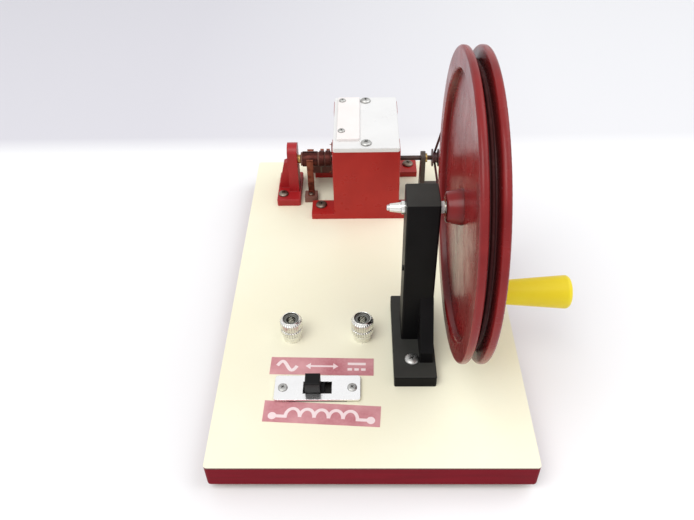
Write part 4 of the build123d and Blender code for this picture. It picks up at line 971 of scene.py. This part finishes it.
def make_upper_label():
    """The tape behind the switch: alternating current, a two-way arrow, direct current."""
    corners = ((21.0, 44.6), (65.0, 43.6), (65.2, 52.8), (21.2, 53.9))
    make_tape("label_upper", corners)
    x, y = tape_place(corners, 0.5, 0.5)
    aside = 14.8
    raised = 1.5
    stroke = 1.3
    signs = arrow_outlines(x, y, 14.0, 0.9, 2.2)
    signs.append(box_outline(x + aside, y + raised, 7.7, stroke))
    signs += band(wave(x - aside, y, 8.4, 4.8), 1.5)
    signs += [box_outline(x + aside + 2.9 * i, y - raised, 1.9, stroke) for i in (-1, 0, 1)]
    make_marks("label_upper_signs", signs, tilt_of(corners), (x, y))


def make_lower_label():
    """The tape in front of the switch, with a coil sign."""
    corners = ((20.3, 20.9), (67.1, 18.1), (67.8, 27.9), (20.5, 31.1))
    make_tape("label_lower", corners)
    x, y = tape_place(corners, 0.5, 0.42)
    make_marks("label_lower_signs", coil_outlines(x, y - 1.3), tilt_of(corners), (x, y))


make_upper_label()
make_lower_label()


# Floor, lamps and surroundings
def make_floor():
    """A pale floor that greys a little behind the model, where it stands in for a wall, and is there
    darker at the left than at the right as painted shade.
    """
    mesh = bpy.data.meshes.new("floor")
    half = 6.0
    corners = [(-half, -half, 0), (half, -half, 0), (half, half, 0), (-half, half, 0)]
    mesh.from_pydata(corners, [], [(0, 1, 2, 3)])
    floor = bpy.data.objects.new("floor", mesh)
    bpy.context.scene.collection.objects.link(floor)
    look = Look("floor", shine=0.2)
    back = look.along("Y", 0.135, 0.155)
    # Behind the model: darker at the left, paler at the right, as painted shade
    backdrop_with_painted_shade = look.blend(look.along("X", -0.15, 0.12), (0.69, 0.68, 0.725), (0.82, 0.82, 0.84))
    look.set("Base Color", look.blend(back, (0.93, 0.93, 0.935), backdrop_with_painted_shade))
    mesh.materials.append(look.material)


# Each surround's tint and strength
SEEN_SURROUND = ((0.96, 0.96, 0.97), 1.0)
LIT_SURROUND = ((0.97, 0.98, 1.0), 0.60)


def make_world():
    """A white surround that metal sees at full strength, and a softer one that lights."""
    world = bpy.data.worlds.new("world")
    bpy.context.scene.world = world
    world.use_nodes = True
    nodes = world.node_tree.nodes
    links = world.node_tree.links
    nodes.clear()
    path = nodes.new("ShaderNodeLightPath")
    seen = path.outputs["Is Camera Ray"]
    for ray in ("Is Glossy Ray", "Is Transmission Ray"):
        either = nodes.new("ShaderNodeMath")
        either.operation = "MAXIMUM"
        links.new(seen, either.inputs[0])
        links.new(path.outputs[ray], either.inputs[1])
        seen = either.outputs[0]
    mix = nodes.new("ShaderNodeMixShader")
    links.new(seen, mix.inputs[0])
    for socket, (tint, strength) in enumerate((LIT_SURROUND, SEEN_SURROUND), start=1):
        surround = nodes.new("ShaderNodeBackground")
        surround.inputs["Color"].default_value = (*tint, 1)
        surround.inputs["Strength"].default_value = strength
        links.new(surround.outputs[0], mix.inputs[socket])
    out = nodes.new("ShaderNodeOutputWorld")
    links.new(mix.outputs[0], out.inputs["Surface"])


def make_lamp(name, place, size, power, tint):
    """A square area lamp that faces the model."""
    data = bpy.data.lights.new(name, "AREA")
    data.shape = "SQUARE"
    data.size = size
    data.energy = power
    data.color = tint
    lamp = bpy.data.objects.new(name, data)
    lamp.location = place
    lamp.rotation_mode = "QUATERNION"
    aim = Vector((0, 0, 0.04)) - Vector(place)
    lamp.rotation_quaternion = aim.to_track_quat("-Z", "Y")
    bpy.context.scene.collection.objects.link(lamp)


make_floor()
make_world()
make_lamp("key_lamp", (-0.45, -0.55, 1.25), 0.9, 10.0, (1.0, 0.99, 0.97))
make_lamp("fill_lamp", (0.85, 0.05, 1.1), 1.2, 7.0, (0.97, 0.98, 1.0))
bpy.context.scene.view_settings.view_transform = "Standard"
